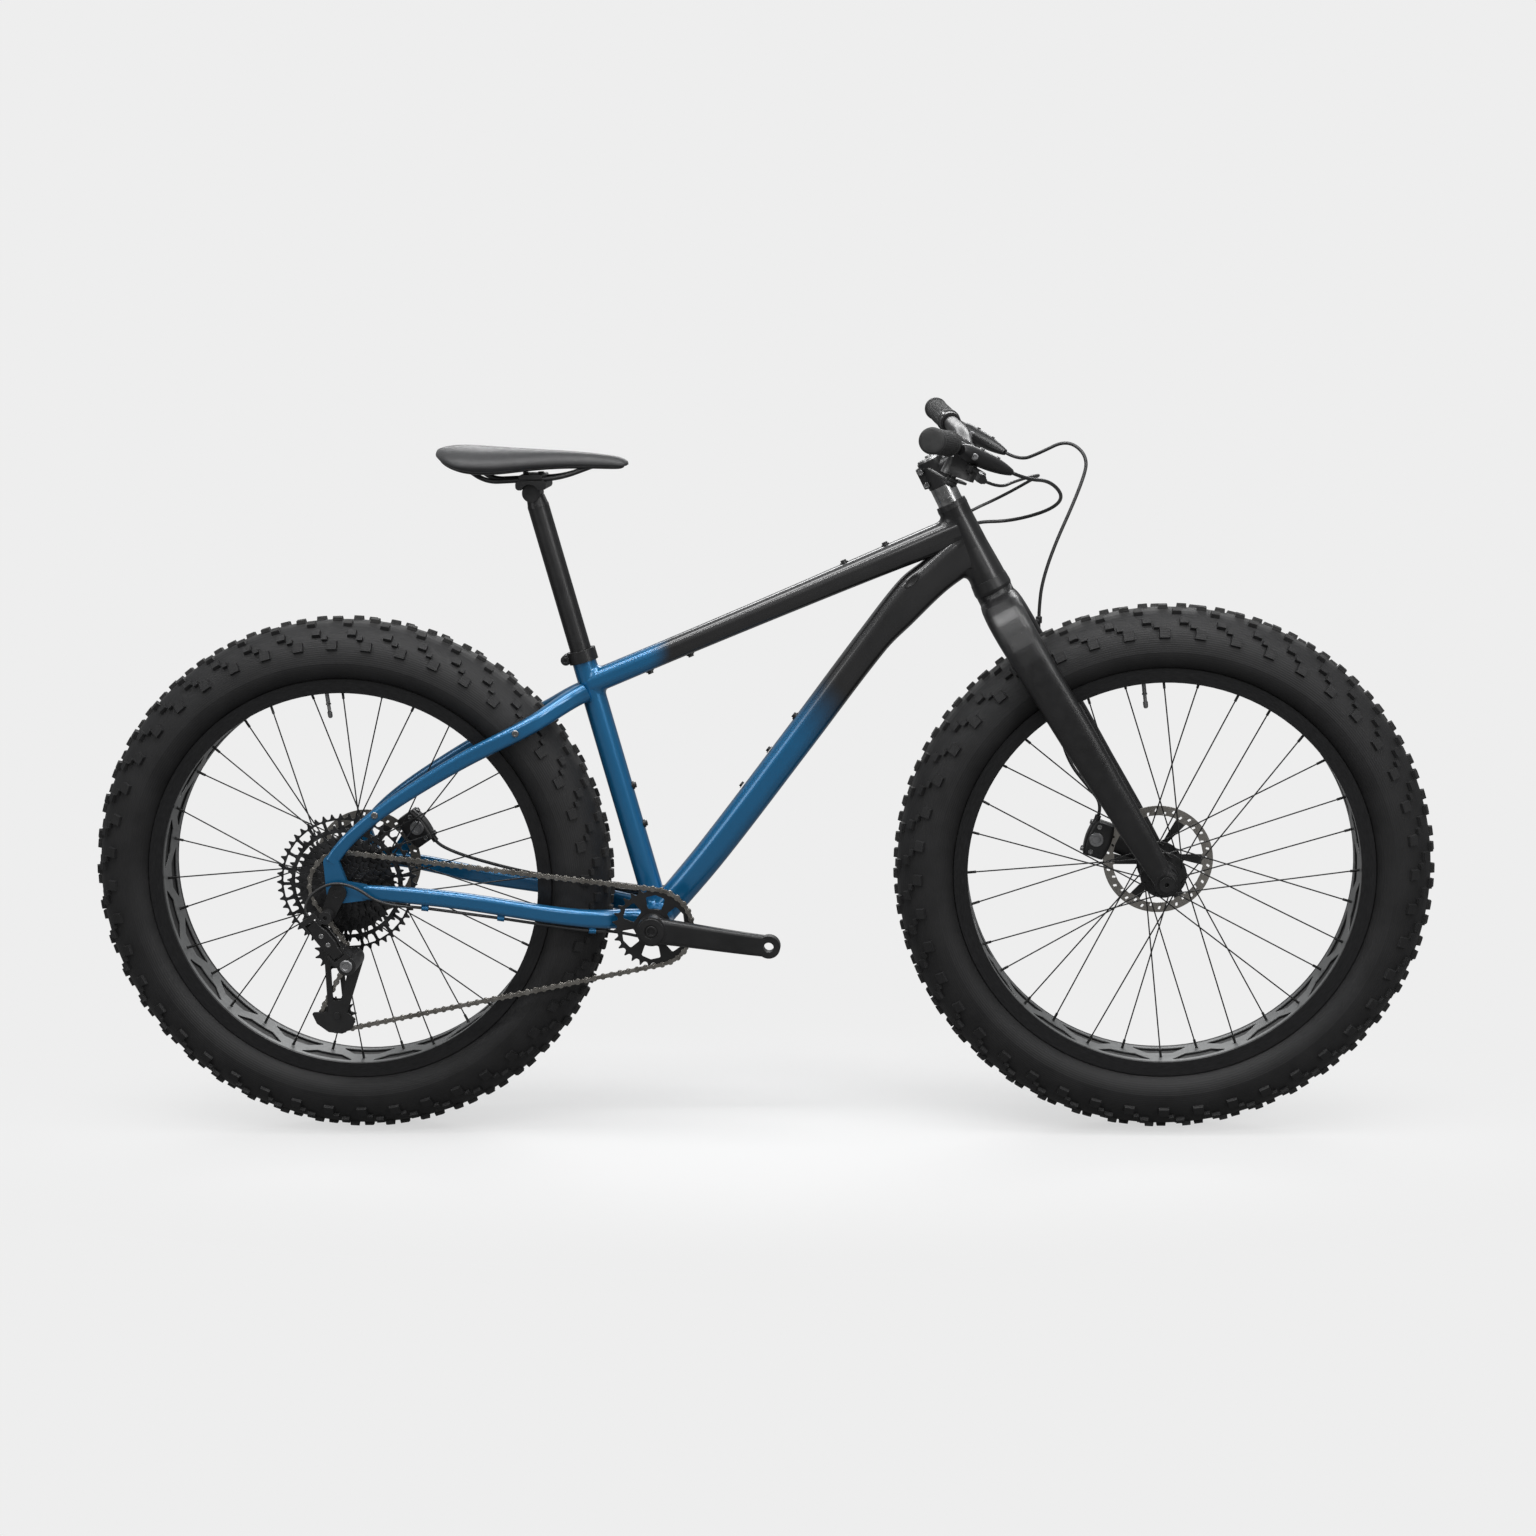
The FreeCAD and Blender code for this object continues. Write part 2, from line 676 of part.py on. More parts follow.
def chain():
    """Inner and outer links laid on the pins one after the other."""
    near = COG_THICK / 2 + 0.15
    thick = 0.65
    far = near + thick + 0.1
    end = far + thick + 0.1

    def plates(y):
        pieces = []
        for low in (y, -y - thick):
            pieces.append(block(V(0, low + thick / 2, 0), (PITCH, thick, PLATE_WAIST)))
            for x in (-PITCH / 2, PITCH / 2):
                pieces.append(rod(PLATE_END, V(x, low, 0), V(x, low + thick, 0)))
        return pieces[0].multiFuse(pieces[1:])

    inner = plates(near)
    outer = plates(far)
    rollers = []
    bores = []
    for x in (-PITCH / 2, PITCH / 2):
        rollers.append(rod(ROLLER_RADIUS, V(x, -near, 0), V(x, near, 0)))
        bores.append(rod(2.05, V(x, -3, 0), V(x, 3, 0)))
        outer = outer.fuse(rod(1.75, V(x, -end, 0), V(x, end, 0)))
    inner = inner.multiFuse(rollers).cut(bores).removeSplitter()
    outer = outer.removeSplitter()
    links = []
    for k, pin in enumerate(PINS):
        following = PINS[(k + 1) % len(PINS)]
        d = following - pin
        link = turned(outer if k % 2 else inner, math.degrees(math.atan2(d.z, d.x)))
        links.append(link.translated((pin + following) * 0.5))
    keep("chain", *links)


def cog_windows(count, inside, outside, y):
    """Rounded windows between two radii, all round a large sprocket."""
    wires = []
    for k in range(count):
        middle = 360.0 / count * k
        points = []
        for radius, side in ((inside, -1), (outside, -1), (outside, 1), (inside, 1)):
            points.append(polar(middle + side * (180.0 / count - math.degrees(2.2 / radius)), radius, y))
        wires.append(rounded_outline(points, 2.2))
    return wires


def cassette():
    """Twelve sprockets pinned to one another on a freehub body."""
    solids = []
    driver = 17.0
    for i, teeth in enumerate(COGS):
        root = pitch_radius(teeth) - ROLLER_RADIUS
        smaller = pitch_radius(COGS[i - 1]) - ROLLER_RADIUS if i else 0.0
        bore = max(driver + 0.1, smaller - COG_LAP) if i > 1 else driver + 0.1
        holes = []
        inside = smaller + 1.6
        outside = root - 2.4 if i == len(COGS) - 1 else root - COG_LAP - 0.3
        if teeth > 40:
            holes = cog_windows(teeth // 2, inside, outside, COG_Y[i] - COG_THICK / 2)
        phase = phase_at(1) if i == CHAIN_COG else 360.0 / teeth * 0.3 * i
        cog = sprocket(teeth, COG_Y[i], phase, bore, holes)
        if i:
            pins = []
            start = COG_Y[i] - COG_THICK / 2
            reach = COG_PITCH - COG_THICK
            span = max(bore, driver + 0.1) + COG_PIN + 0.2
            for k in range(6):
                c = polar(60.0 * k, min(span, smaller - COG_PIN - 0.2), start)
                pins.append(rod(COG_PIN, c, c - Y * reach))
            cog = cog.multiFuse(pins)
        solids.append(at(REAR, cog))
    inner = REAR_AXLE_RADIUS + 1.0
    low = COG_Y[0] - 1.6
    body = ring(driver, inner, V(0, low, 0), V(0, COG_Y[-1] + 5.5, 0))
    lockring = ring(driver + 1.4, inner + 1, V(0, low - 1.6, 0), V(0, low, 0))
    keep("cassette", *solids, at(REAR, body.fuse(lockring)))


def crank_arm(side, face):
    """Forged crank arm pointing along +X on one side, its boss starting at the distance face."""
    outer = Q_FACTOR / 2
    stations = [
        (V(-6, side * (outer - 16), 0), 40, 18, 8),
        (V(35, side * (outer - 14), 0), 37, 16, 7),
        (V(95, side * (outer - 9), 0), 34, 14, 6),
        (V(CRANK_LENGTH, side * (outer - 6.5), 0), 31, 13, 5),
    ]
    blade = limb(stations, Z)
    eye = V(CRANK_LENGTH, side * (outer - 13), 0)
    end = rod(16.5, eye, V(CRANK_LENGTH, side * outer, 0))
    boss = rod(21.5, V(0, side * face, 0), V(0, side * (outer - 6), 0))
    arm = blade.multiFuse([end, boss]).removeSplitter()
    hole = rod(PEDAL_HOLE_RADIUS, eye - Y * (side * 5), eye + Y * (side * 20))
    pocket = rod(9.0, V(0, side * (outer - 10), 0), V(0, side * (outer + 5), 0))
    return arm.cut([hole, pocket])


def cranks():
    """Cranks on a through spindle and the direct-mount chainring between arm and shell."""
    outer = Q_FACTOR / 2
    low = CHAIN_Y - COG_THICK / 2
    end = Y * (outer - 14)
    spindle = rod(SPINDLE_RADIUS, -end, end)
    socket = rod(SPINDLE_RADIUS + SPINDLE_GAP, -end - Y * SPINDLE_GAP, end + Y * SPINDLE_GAP)
    right = crank_arm(-1, -low).cut(socket)
    keep("crank_right", *[at(BB, turned(solid, CRANK_ANGLE)) for solid in (right, spindle)])
    left = crank_arm(1, -low).cut(socket)
    keep("crank_left", at(BB, turned(left, 180 + CRANK_ANGLE)))
    root = pitch_radius(RING_TEETH) - ROLLER_RADIUS
    holes = []
    for k in range(6):
        a = 60.0 * k + 6
        window = [polar(a, root - 7, low), polar(a + 18, root - 4.5, low), polar(a + 36, root - 7, low)]
        window += [polar(a + 38, 28.5, low), polar(a + 18, 27.0, low), polar(a - 2, 28.5, low)]
        holes.append(rounded_outline(window, 3.0))
    plate = sprocket(RING_TEETH, CHAIN_Y, phase_at(0), SPINDLE_RADIUS + 0.05, holes)
    spline = ring(20.0, SPINDLE_RADIUS + 0.05, V(0, low, 0), V(0, low + COG_THICK + 6, 0))
    keep("chainring", at(BB, plate.fuse(spline)))


def pulley(centre, phase):
    """Derailleur pulley with spoked web and a bush."""
    holes = []
    for k in range(4):
        c = polar(90.0 * k + 45, 13.0, -COG_THICK / 2)
        holes.append(Part.Wire(Part.Circle(c, Y, 3.2).toShape()))
    disc = sprocket(PULLEY_TEETH, 0.0, phase, 3.1, holes)
    bush = ring(7.0, 3.1, V(0, -2.6, 0), V(0, 2.6, 0))
    return at(centre, disc.fuse(bush))


# Derailleur: B knuckle, two links, P knuckle and cage
HANGER_BOLT = REAR + V(-15.0, 0, -32.0)
HANGER_Y = -(REAR_INNER + PLATE)
LINK_DIR = unit(V(0.60, 0, -0.80))
LINK_AXIS = unit(V(0.80, 0, 0.60))
LINK_LENGTH = 52.0
LINK_WIDE = 18.0
LINK_OUT = HANGER_Y - 23.5
LINK_IN = HANGER_Y - 9.5
CHEEK = LINK_WIDE / 2 + 4.6
P_REACH = 22.0
LINK_FOOT = V(CAGE_PIVOT.x, 0, CAGE_PIVOT.z) - LINK_DIR * (LINK_LENGTH + P_REACH)


def link_plate(y, thick):
    """Parallelogram link with a pivot hole along LINK_AXIS at each end."""
    start = LINK_FOOT + Y * y
    rows = ((-4, LINK_WIDE), (8, LINK_WIDE), (16, LINK_WIDE + 5), (LINK_LENGTH - 16, LINK_WIDE + 5),
            (LINK_LENGTH - 8, LINK_WIDE), (LINK_LENGTH + 4, LINK_WIDE))
    plate = limb([(start + LINK_DIR * s, wide, thick, 1.6) for s, wide in rows], LINK_AXIS, 0.0, True)
    holes = []
    for s in (0, LINK_LENGTH):
        p = start + LINK_DIR * s
        holes.append(rod(2.1, p - LINK_AXIS * LINK_WIDE, p + LINK_AXIS * LINK_WIDE))
    return plate.cut(holes)


def knuckle_fork(foot, sense):
    """Cheeks, web and two pivot pins that carry the links, the web on the sense side of the pins."""
    middle = foot + Y * ((LINK_IN + LINK_OUT) / 2)
    high = LINK_IN - LINK_OUT + 6
    pieces = []
    for side in (-1, 1):
        c = middle + LINK_AXIS * (side * (CHEEK - 2.1)) + LINK_DIR * (sense * 5)
        pieces.append(block(c, (4.2, high, 20), LINK_AXIS, Y, LINK_DIR))
    web = middle + LINK_DIR * (sense * 11)
    pieces.append(block(web, (2 * CHEEK, high, 8), LINK_AXIS, Y, LINK_DIR))
    for y in (LINK_OUT, LINK_IN):
        p = foot + Y * y
        pieces.append(rod(2.0, p - LINK_AXIS * (CHEEK + 0.8), p + LINK_AXIS * (CHEEK + 0.8)))
    return pieces


def derailleur():
    keep("derailleur_outer_link", link_plate(LINK_OUT, 6.0))
    keep("derailleur_inner_link", link_plate(LINK_IN, 5.0))
    bolt_y = HANGER_Y - 6.0
    boss = rod(9.5, HANGER_BOLT + Y * bolt_y, HANGER_BOLT + Y * (LINK_OUT - 1))
    socket = rod(3.0, HANGER_BOLT + Y * (LINK_OUT + 4), HANGER_BOLT + Y * (LINK_OUT - 5))
    knuckle = boss.multiFuse(knuckle_fork(LINK_FOOT, -1))
    keep("derailleur_b_knuckle", knuckle.cut(socket))
    pivot = V(CAGE_PIVOT.x, 0, CAGE_PIVOT.z)
    drum = rod(14.0, pivot + Y * (CHAIN_Y - 9.0), pivot + Y * (LINK_OUT - 2))
    knuckle = drum.multiFuse(knuckle_fork(LINK_FOOT + LINK_DIR * LINK_LENGTH, 1))
    pin_hole = rod(5.1, pivot + Y * CHAIN_Y, pivot + Y * (CHAIN_Y - 22))
    keep("derailleur_p_knuckle", knuckle.cut(pin_hole))
    cage()
    keep("pulley_upper", pulley(GUIDE, phase_at(2)))
    keep("pulley_lower", pulley(TENSION, phase_at(3)))


def cage():
    """Two cage plates with windows, the outer one with a pulley guard, pulley bolts and the pivot pin."""
    pivot = V(CAGE_PIVOT.x, 0, CAGE_PIVOT.z)
    along = unit(TENSION - GUIDE)
    side = V(-along.z, 0, along.x)
    inner_y = CHAIN_Y + 4.2
    inner = belt_plate([(GUIDE.x, GUIDE.z, 12.0), (TENSION.x, TENSION.z, 15.0)], inner_y, 2.0)
    middle = (GUIDE + TENSION) * 0.5
    window = [V(middle.x, inner_y, middle.z) + along * u + side * v
              for u, v in ((-22, -6.5), (-22, 5.5), (24, 7.0), (24, -7.0))]
    solids = [inner.cut(Part.Face(rounded_outline(window, 4.0)).extrude(Y * 2.0))]
    outer_y = CHAIN_Y - 6.2
    rounds = [(GUIDE.x, GUIDE.z, 12.0), (TENSION.x, TENSION.z, 13.0), (pivot.x, pivot.z, 13.0)]
    outer = belt_plate(rounds, outer_y, 2.0)
    corners = (GUIDE - X * 4 - Z * 18, pivot - X * 12 - Z * 22,
               TENSION + X * 7 + Z * 24, TENSION - X * 4.5 + Z * 22)
    window = [V(p.x, outer_y, p.z) for p in corners]
    outer = outer.cut(Part.Face(rounded_outline(window, 2.4)).extrude(Y * 2.0))
    guard = [V(TENSION.x + x, outer_y, TENSION.z + z) for x, z in (
        (-38, 5), (-31, -12), (-14, -25), (6, -27.5), (22, -19), (27, -5), (14, 6), (-14, 6))]
    solids.append(outer.fuse(Part.Face(rounded_outline(guard, 3.0)).extrude(Y * 2.0)))
    low_y = CHAIN_Y - 6.2
    bolts = []
    for c in (GUIDE, TENSION):
        bolts.append(rod(3.0, V(c.x, low_y - 1.2, c.z), V(c.x, CHAIN_Y + 6.2, c.z)))
        bolts.append(rod(5.0, V(c.x, low_y - 2.4, c.z), V(c.x, low_y, c.z)))
    bolts.append(rod(5.0, V(pivot.x, low_y, pivot.z), V(pivot.x, CHAIN_Y - 20, pivot.z)))
    keep("derailleur_cage", solids[0].multiFuse(solids[1:] + bolts))


# Frame
TOP_TUBE = (
    (0.0, -16.5, 0.0, 16.5, 36, 13),
    (0.25, -16, 0.25, 16, 38, 13),
    (0.55, -17, 0.55, 17, 41, 14),
    (0.80, -19, 0.80, 19, 44, 15),
    (1.0, -23, 1.0, 20, 43, 15),
)
DOWN_TUBE = (
    (0.0, -21, 0.0, 21, 52, 16),
    (0.178, -22, 0.178, 22.5, 50, 17),
    (0.476, -12, 0.476, 33, 52, 17),
    (0.728, -3, 0.728, 43.5, 50, 17),
    (0.808, -7.7, 0.852, 46.5, 48, 17),
    (0.895, -13.8, 0.914, 38.4, 46, 16),
    (0.955, -24, 0.985, 30, 44, 15),
    (0.995, -34, 1.025, 18, 42, 15),
)
CHAINSTAY = (
    (0.04, 36, 0, 30, 26),
    (0.12, 47, -1, 28, 20),
    (0.20, 65, -1, 26, 18),
    (0.28, 74.5, 0, 25, 17),
    (0.49, 77, 2, 24.5, 17),
    (0.73, 88, 5, 24, 16),
    (0.92, 102.5, 4, 21, 11),
)
SEATSTAY = (
    (0.02, 0, 18, 27, 24),
    (0.13, 4, 43, 26, 20),
    (0.26, 8, 72, 24, 17),
    (0.434, 17, 80, 23, 16),
    (0.62, 21, 86, 21, 15),
    (0.794, 20, 92, 19, 15),
    (0.92, 12, 98, 19, 12),
    (1.0, 0, 102.5, 19, 10),
)
TOP_JOINT = 357.0
TOP_LINE = (seat(TOP_JOINT), head(HEAD_LOW + 0.72 * HEAD_LENGTH))
DOWN_LINE = (BB, head(HEAD_LOW + 0.47 * HEAD_LENGTH))
STAY_END = REAR + V(-8, 0, 44)
STAY_LINE = (seat(TOP_JOINT - 6), STAY_END)
CALIPER_ARM = 92.0
HOSE_OUT = 12.0
FRONT_CALIPER = FRONT + polar(160, CALIPER_ARM)
REAR_CALIPER = REAR + polar(34, CALIPER_ARM)


def on_line(line, fraction, offset):
    """Point at a fraction of a line in the XZ plane, offset upward square to it."""
    along = line[1] - line[0]
    up = unit(V(-along.z, 0, along.x))
    if up.z < 0:
        up = up * -1
    return line[0] + along * fraction + up * offset


def frame_tube(line, stations, shrink=0.0):
    """Tube along a line from (low fraction, low offset, high fraction, high offset, width, corner)."""
    wires = []
    extra = 0.01 if shrink else 0.0
    for i, (low_f, low_o, high_f, high_o, width, corner) in enumerate(stations):
        over = -extra if i == 0 else extra if i == len(stations) - 1 else 0.0
        low_f += over
        high_f += over
        low = on_line(line, low_f, low_o)
        high = on_line(line, high_f, high_o)
        size = (high - low).Length - 2 * shrink
        middle = (low + high) * 0.5
        wires.append(section(middle, unit(high - low), Y, size, width - 2 * shrink, corner - shrink))
    return loft(wires)


def hollow(make):
    """Outer form less the same form drawn in by the wall."""
    return make(0.0).cut(make(FRAME_WALL))


def chainstay_point(fraction, y, lift):
    return BB + V((REAR.x - BB.x) * fraction, y, BB_DROP * fraction + lift)


def right_stays():
    """Chainstay and seatstay of the drive side, as solid forms."""
    lower = [(chainstay_point(f, -y, lift), h, w, 0.4 * w) for f, y, lift, h, w in CHAINSTAY]
    upper = [(on_line(STAY_LINE, f, o) - Y * y, h, w, 0.4 * w) for f, o, y, h, w in SEATSTAY]

    def stay(stations):
        plug = stations[-1][0] + unit(stations[-2][0] - stations[-1][0]) * 24
        inner = stations[:-1] + [(plug,) + stations[-1][1:]]
        return limb(stations, Z).cut(limb(inner, Z, FRAME_WALL))

    return stay(lower), stay(upper), limb(lower, Z)


def dropout(caliper):
    """Dropout plate on the +Y side, with an arm for the caliper when asked."""
    low = REAR_INNER
    hole = [(REAR.x, REAR.z, REAR_AXLE_RADIUS + 0.06)]
    end = chainstay_point(CHAINSTAY[-1][0], 0, CHAINSTAY[-1][2])
    plate = belt_plate(((REAR.x, REAR.z, 17), (STAY_END.x, STAY_END.z, 11)), low, PLATE, hole)
    pieces = [belt_plate(((REAR.x, REAR.z, 17), (end.x, end.z, 11.5)), low, PLATE, hole)]
    if caliper:
        arm = ((end.x, end.z, 11.0), (REAR_CALIPER.x, REAR_CALIPER.z, 14))
        pieces.append(belt_plate(arm, low, PLATE))
    return plate.multiFuse(pieces).removeSplitter()


def frame():
    centre = head(0)
    bore = STEERER_RADIUS + 5.6
    profile = [(bore, HEAD_LOW), (26, HEAD_LOW), (25.6, HEAD_LOW + 10), (23, HEAD_LOW + 50),
               (21.6, HEAD_HIGH - 14), (22, HEAD_HIGH), (bore, HEAD_HIGH)]
    head_tube = turning(profile, centre, HEAD_UP, HEAD_FORE)
    head_form = turning([(0, HEAD_LOW)] + profile[1:-1] + [(0, HEAD_HIGH)], centre, HEAD_UP, HEAD_FORE)
    half = BB_WIDTH / 2
    bb_form = rod(BB_RADIUS, BB - Y * half, BB + Y * half)
    bb_bore = SPINDLE_RADIUS + 4.5
    keep("head_tube", head_tube)
    keep("bottom_bracket_shell", ring(BB_RADIUS, bb_bore, BB - Y * half, BB + Y * half))
    seat_form = rod(SEAT_TUBE_RADIUS, BB, seat(SEAT_TUBE_LENGTH))
    seat_bore = rod(POST_RADIUS + 0.06, BB, seat(SEAT_TUBE_LENGTH + 1))
    keep("seat_tube", seat_form.cut([bb_form, seat_bore]))
    down = hollow(lambda shrink: frame_tube(DOWN_LINE, DOWN_TUBE, shrink))
    down = down.cut([head_form, bb_form, seat_form])
    down_form = frame_tube(DOWN_LINE, DOWN_TUBE)
    keep("down_tube", largest(down))
    top = hollow(lambda shrink: frame_tube(TOP_LINE, TOP_TUBE, shrink)).cut([head_form, seat_form, down_form])
    top_form = frame_tube(TOP_LINE, TOP_TUBE)
    keep("top_tube", largest(top))
    lower, upper, stay_form = right_stays()
    right_plate = mirrored(dropout(False))
    left_plate = dropout(True)
    lower_right = lower.cut([bb_form, seat_form, down_form])
    lower_left = mirrored(lower_right)
    upper_right = upper.cut([seat_form, top_form, lower, right_plate])
    upper_left = mirrored(upper).cut([seat_form, top_form, mirrored(lower), left_plate])
    upper_right = largest(upper_right.cut(rod(400, V(), Y * 400)))
    upper_left = largest(upper_left.cut(rod(400, V(), Y * -400)))
    lower_right = largest(lower_right.cut(right_plate)).fuse(right_plate)
    lower_left = largest(lower_left.cut(left_plate)).fuse(left_plate)
    keep("chainstays", lower_right, lower_left)
    keep("seatstays", upper_right, upper_left)
    bearing_cups(bb_bore)
    frame_fittings(down_form, top_form, seat_form, stay_form)


def largest(shape):
    """The biggest solid of a result, without slivers."""
    return max(shape.Solids, key=lambda s: s.Volume)


def bearing_cups(bb_bore):
    centre = head(0)
    bore = STEERER_RADIUS + 5.56
    inner = STEERER_RADIUS + 0.3
    upper = [(inner, HEAD_HIGH - 8), (bore, HEAD_HIGH - 8), (bore, HEAD_HIGH), (22.4, HEAD_HIGH),
             (21.6, HEAD_HIGH + UPPER_CUP), (inner, HEAD_HIGH + UPPER_CUP)]
    inner += 4.0
    low = CROWN + GAP
    lower = [(inner, low), (27.0, low), (27.8, low + 4), (26.6, HEAD_LOW), (bore, HEAD_LOW),
             (bore, HEAD_LOW + 8), (inner, HEAD_LOW + 8)]
    cups = [turning(upper, centre, HEAD_UP, HEAD_FORE), turning(lower, centre, HEAD_UP, HEAD_FORE)]
    half = BB_WIDTH / 2
    bush = SPINDLE_RADIUS + 0.08
    cup = [(bush, half - 12), (bb_bore - 0.03, half - 12), (bb_bore - 0.03, half), (22.5, half),
           (21.5, half + 7), (bush, half + 7)]
    keep("bearing_cups", *cups, *both(turning(cup, BB)))


def surface_offset(stations, fraction, upper):
    """Height of a frame tube's upper or lower face over its line."""
    columns = (2, 3) if upper else (0, 1)
    for first, second in zip(stations, stations[1:]):
        if first[columns[0]] <= fraction <= second[columns[0]]:
            t = (fraction - first[columns[0]]) / (second[columns[0]] - first[columns[0]])
            return first[columns[1]] + t * (second[columns[1]] - first[columns[1]])
    return stations[-1][columns[1]]


def boss_bolt(at, out, form):
    """Round boss with a bolt on a tube, cut to the tube's form."""
    top = at + unit(out) * 1.6
    boss = rod(6.0, at - unit(out) * 2.5, top).cut(form).fuse(bolt(4.2, 3.0, top, out))
    return boss.translated(unit(out) * BOSS_GAP)


def frame_bolt(line, stations, fraction, upper, form):
    """Boss and bolt on the upper or lower face of a tube."""
    height = surface_offset(stations, fraction, upper)
    at = on_line(line, fraction, height)
    return boss_bolt(at, (on_line(line, fraction, height + 1) - at) * (1 if upper else -1), form)


def frame_fittings(down_form, top_form, seat_form, stay_form):
    bolts = []
    for fraction in (0.326, 0.418, 0.506):
        bolts.append(frame_bolt(DOWN_LINE, DOWN_TUBE, fraction, True, down_form))
    for fraction in (0.70, 0.81):
        bolts.append(frame_bolt(TOP_LINE, TOP_TUBE, fraction, True, top_form))
    for fraction in (0.15, 0.26):
        bolts.append(frame_bolt(TOP_LINE, TOP_TUBE, fraction, False, top_form))
    for s in (0.34, 0.485):
        bolts.append(boss_bolt(seat(s * SEAT_TUBE_LENGTH, SEAT_TUBE_RADIUS), SEAT_FORE, seat_form))
    keep("frame_bolts", *bolts, *cable_guides(stay_form))
    top = seat(SEAT_TUBE_LENGTH + 2.5)
    low = seat(SEAT_TUBE_LENGTH - 15)
    collar = rod(SEAT_TUBE_RADIUS + 3.8, low, top)
    back = -(SEAT_TUBE_RADIUS + 6.0)
    lug = rod(7.5, seat(SEAT_TUBE_LENGTH - 6, back, -11), seat(SEAT_TUBE_LENGTH - 6, back, 11))
    clamp = collar.fuse(lug)
    clamp = clamp.cut([rod(SEAT_TUBE_RADIUS + 0.02, low - SEAT_UP * 9, seat(SEAT_TUBE_LENGTH)),
                       rod(POST_RADIUS + 0.4, low, top + SEAT_UP * 9),
                       block(seat(SEAT_TUBE_LENGTH - 6, -30), (32, 3, 60), SEAT_FORE, Y, SEAT_UP),
                       rod(3.0, seat(SEAT_TUBE_LENGTH - 6, back, -30), seat(SEAT_TUBE_LENGTH - 6, back, 30))])
    pin = rod(2.95, seat(SEAT_TUBE_LENGTH - 6, back, -11), seat(SEAT_TUBE_LENGTH - 6, back, 11))
    cap = bolt(5.0, 4.0, seat(SEAT_TUBE_LENGTH - 6, back, -11), -Y)
    keep("seat_clamp", clamp, pin.fuse(cap))
    x, z = HANGER_BOLT.x, HANGER_BOLT.z
    hanger = belt_plate(((REAR.x, REAR.z, 13), (x, z, 10)), HANGER_Y - 6.0, 6.0,
                        [(REAR.x, REAR.z, REAR_AXLE_RADIUS + 0.06), (x, z, 4.0)])
    keep("derailleur_hanger", hanger)


def block(centre, size, a=X, b=Y, c=Z):
    """Box about a centre with its sides along a, b and c."""
    u = a * (size[0] / 2)
    v = b * (size[1] / 2)
    base = centre - c * (size[2] / 2)
    corners = [base - u - v, base + u - v, base + u + v, base - u + v]
    return Part.Face(Part.makePolygon(corners + corners[:1])).extrude(c * size[2])


def axles():
    rear_left = REAR_INNER + PLATE
    shaft = rod(REAR_AXLE_RADIUS, REAR - Y * (rear_left + 6.0), REAR + Y * rear_left)
    cap = rod(10.0, REAR + Y * rear_left, REAR + Y * (rear_left + 4.5))
    socket = rod(3.0, REAR + Y * (rear_left - 4), REAR + Y * (rear_left + 9))
    ends = []
    for y0, y1 in ((-REAR_INNER, COG_Y[0] - 3.4), (REAR_INNER - 7.8, REAR_INNER)):
        ends.append(ring(11.0, REAR_AXLE_RADIUS + 0.05, REAR + Y * y0, REAR + Y * y1))
    keep("rear_axle", shaft.fuse(cap).cut(socket), *ends)
    outer = FRONT_INNER + 17.0
    shaft = rod(FRONT_AXLE_RADIUS, FRONT - Y * outer, FRONT + Y * outer)
    cap = rod(11.0, FRONT - Y * (outer + 4.5), FRONT - Y * outer)
    socket = rod(3.0, FRONT - Y * (outer + 9), FRONT - Y * (outer - 4))
    ends = []
    for y0, y1 in ((-FRONT_INNER, -FRONT_INNER + 11.7), (FRONT_INNER - 7.8, FRONT_INNER)):
        ends.append(ring(12.0, FRONT_AXLE_RADIUS + 0.05, FRONT + Y * y0, FRONT + Y * y1))
    keep("front_axle", shaft.fuse(cap).cut(socket), *ends)


def caliper(centre, place, y, up):
    """Two-piston caliper body with a rotor slot, pads and hose fitting, on a disc at y."""
    out = unit(centre - place)
    side = V(-out.z, 0, out.x)
    mid = V(centre.x, y, centre.z)
    width = 2 * ROTOR_INSET - 0.2
    body = limb([(mid - side * 26, 30, width, 6), (mid, 38, width, 7), (mid + side * 26, 30, width, 6)], out)
    slot = block(mid - out * 8, (46, 3.2, 90), out, Y, side)
    pocket = block(mid - out * 8, (40, 12.0, 30), out, Y, side)
    body = body.cut([slot, pocket])
    pads = []
    for s in (-1, 1):
        c = mid - out * 9 + Y * (s * (ROTOR_THICK / 2 + 0.4 + 2.2))
        pads.append(block(c, (18, 4.4, 29.8), out, Y, side))
    fitting = rod(4.5, mid + out * HOSE_OUT + side * (up * 20), mid + out * HOSE_OUT + side * (up * 33))
    body = body.fuse(fitting)
    return [body] + pads


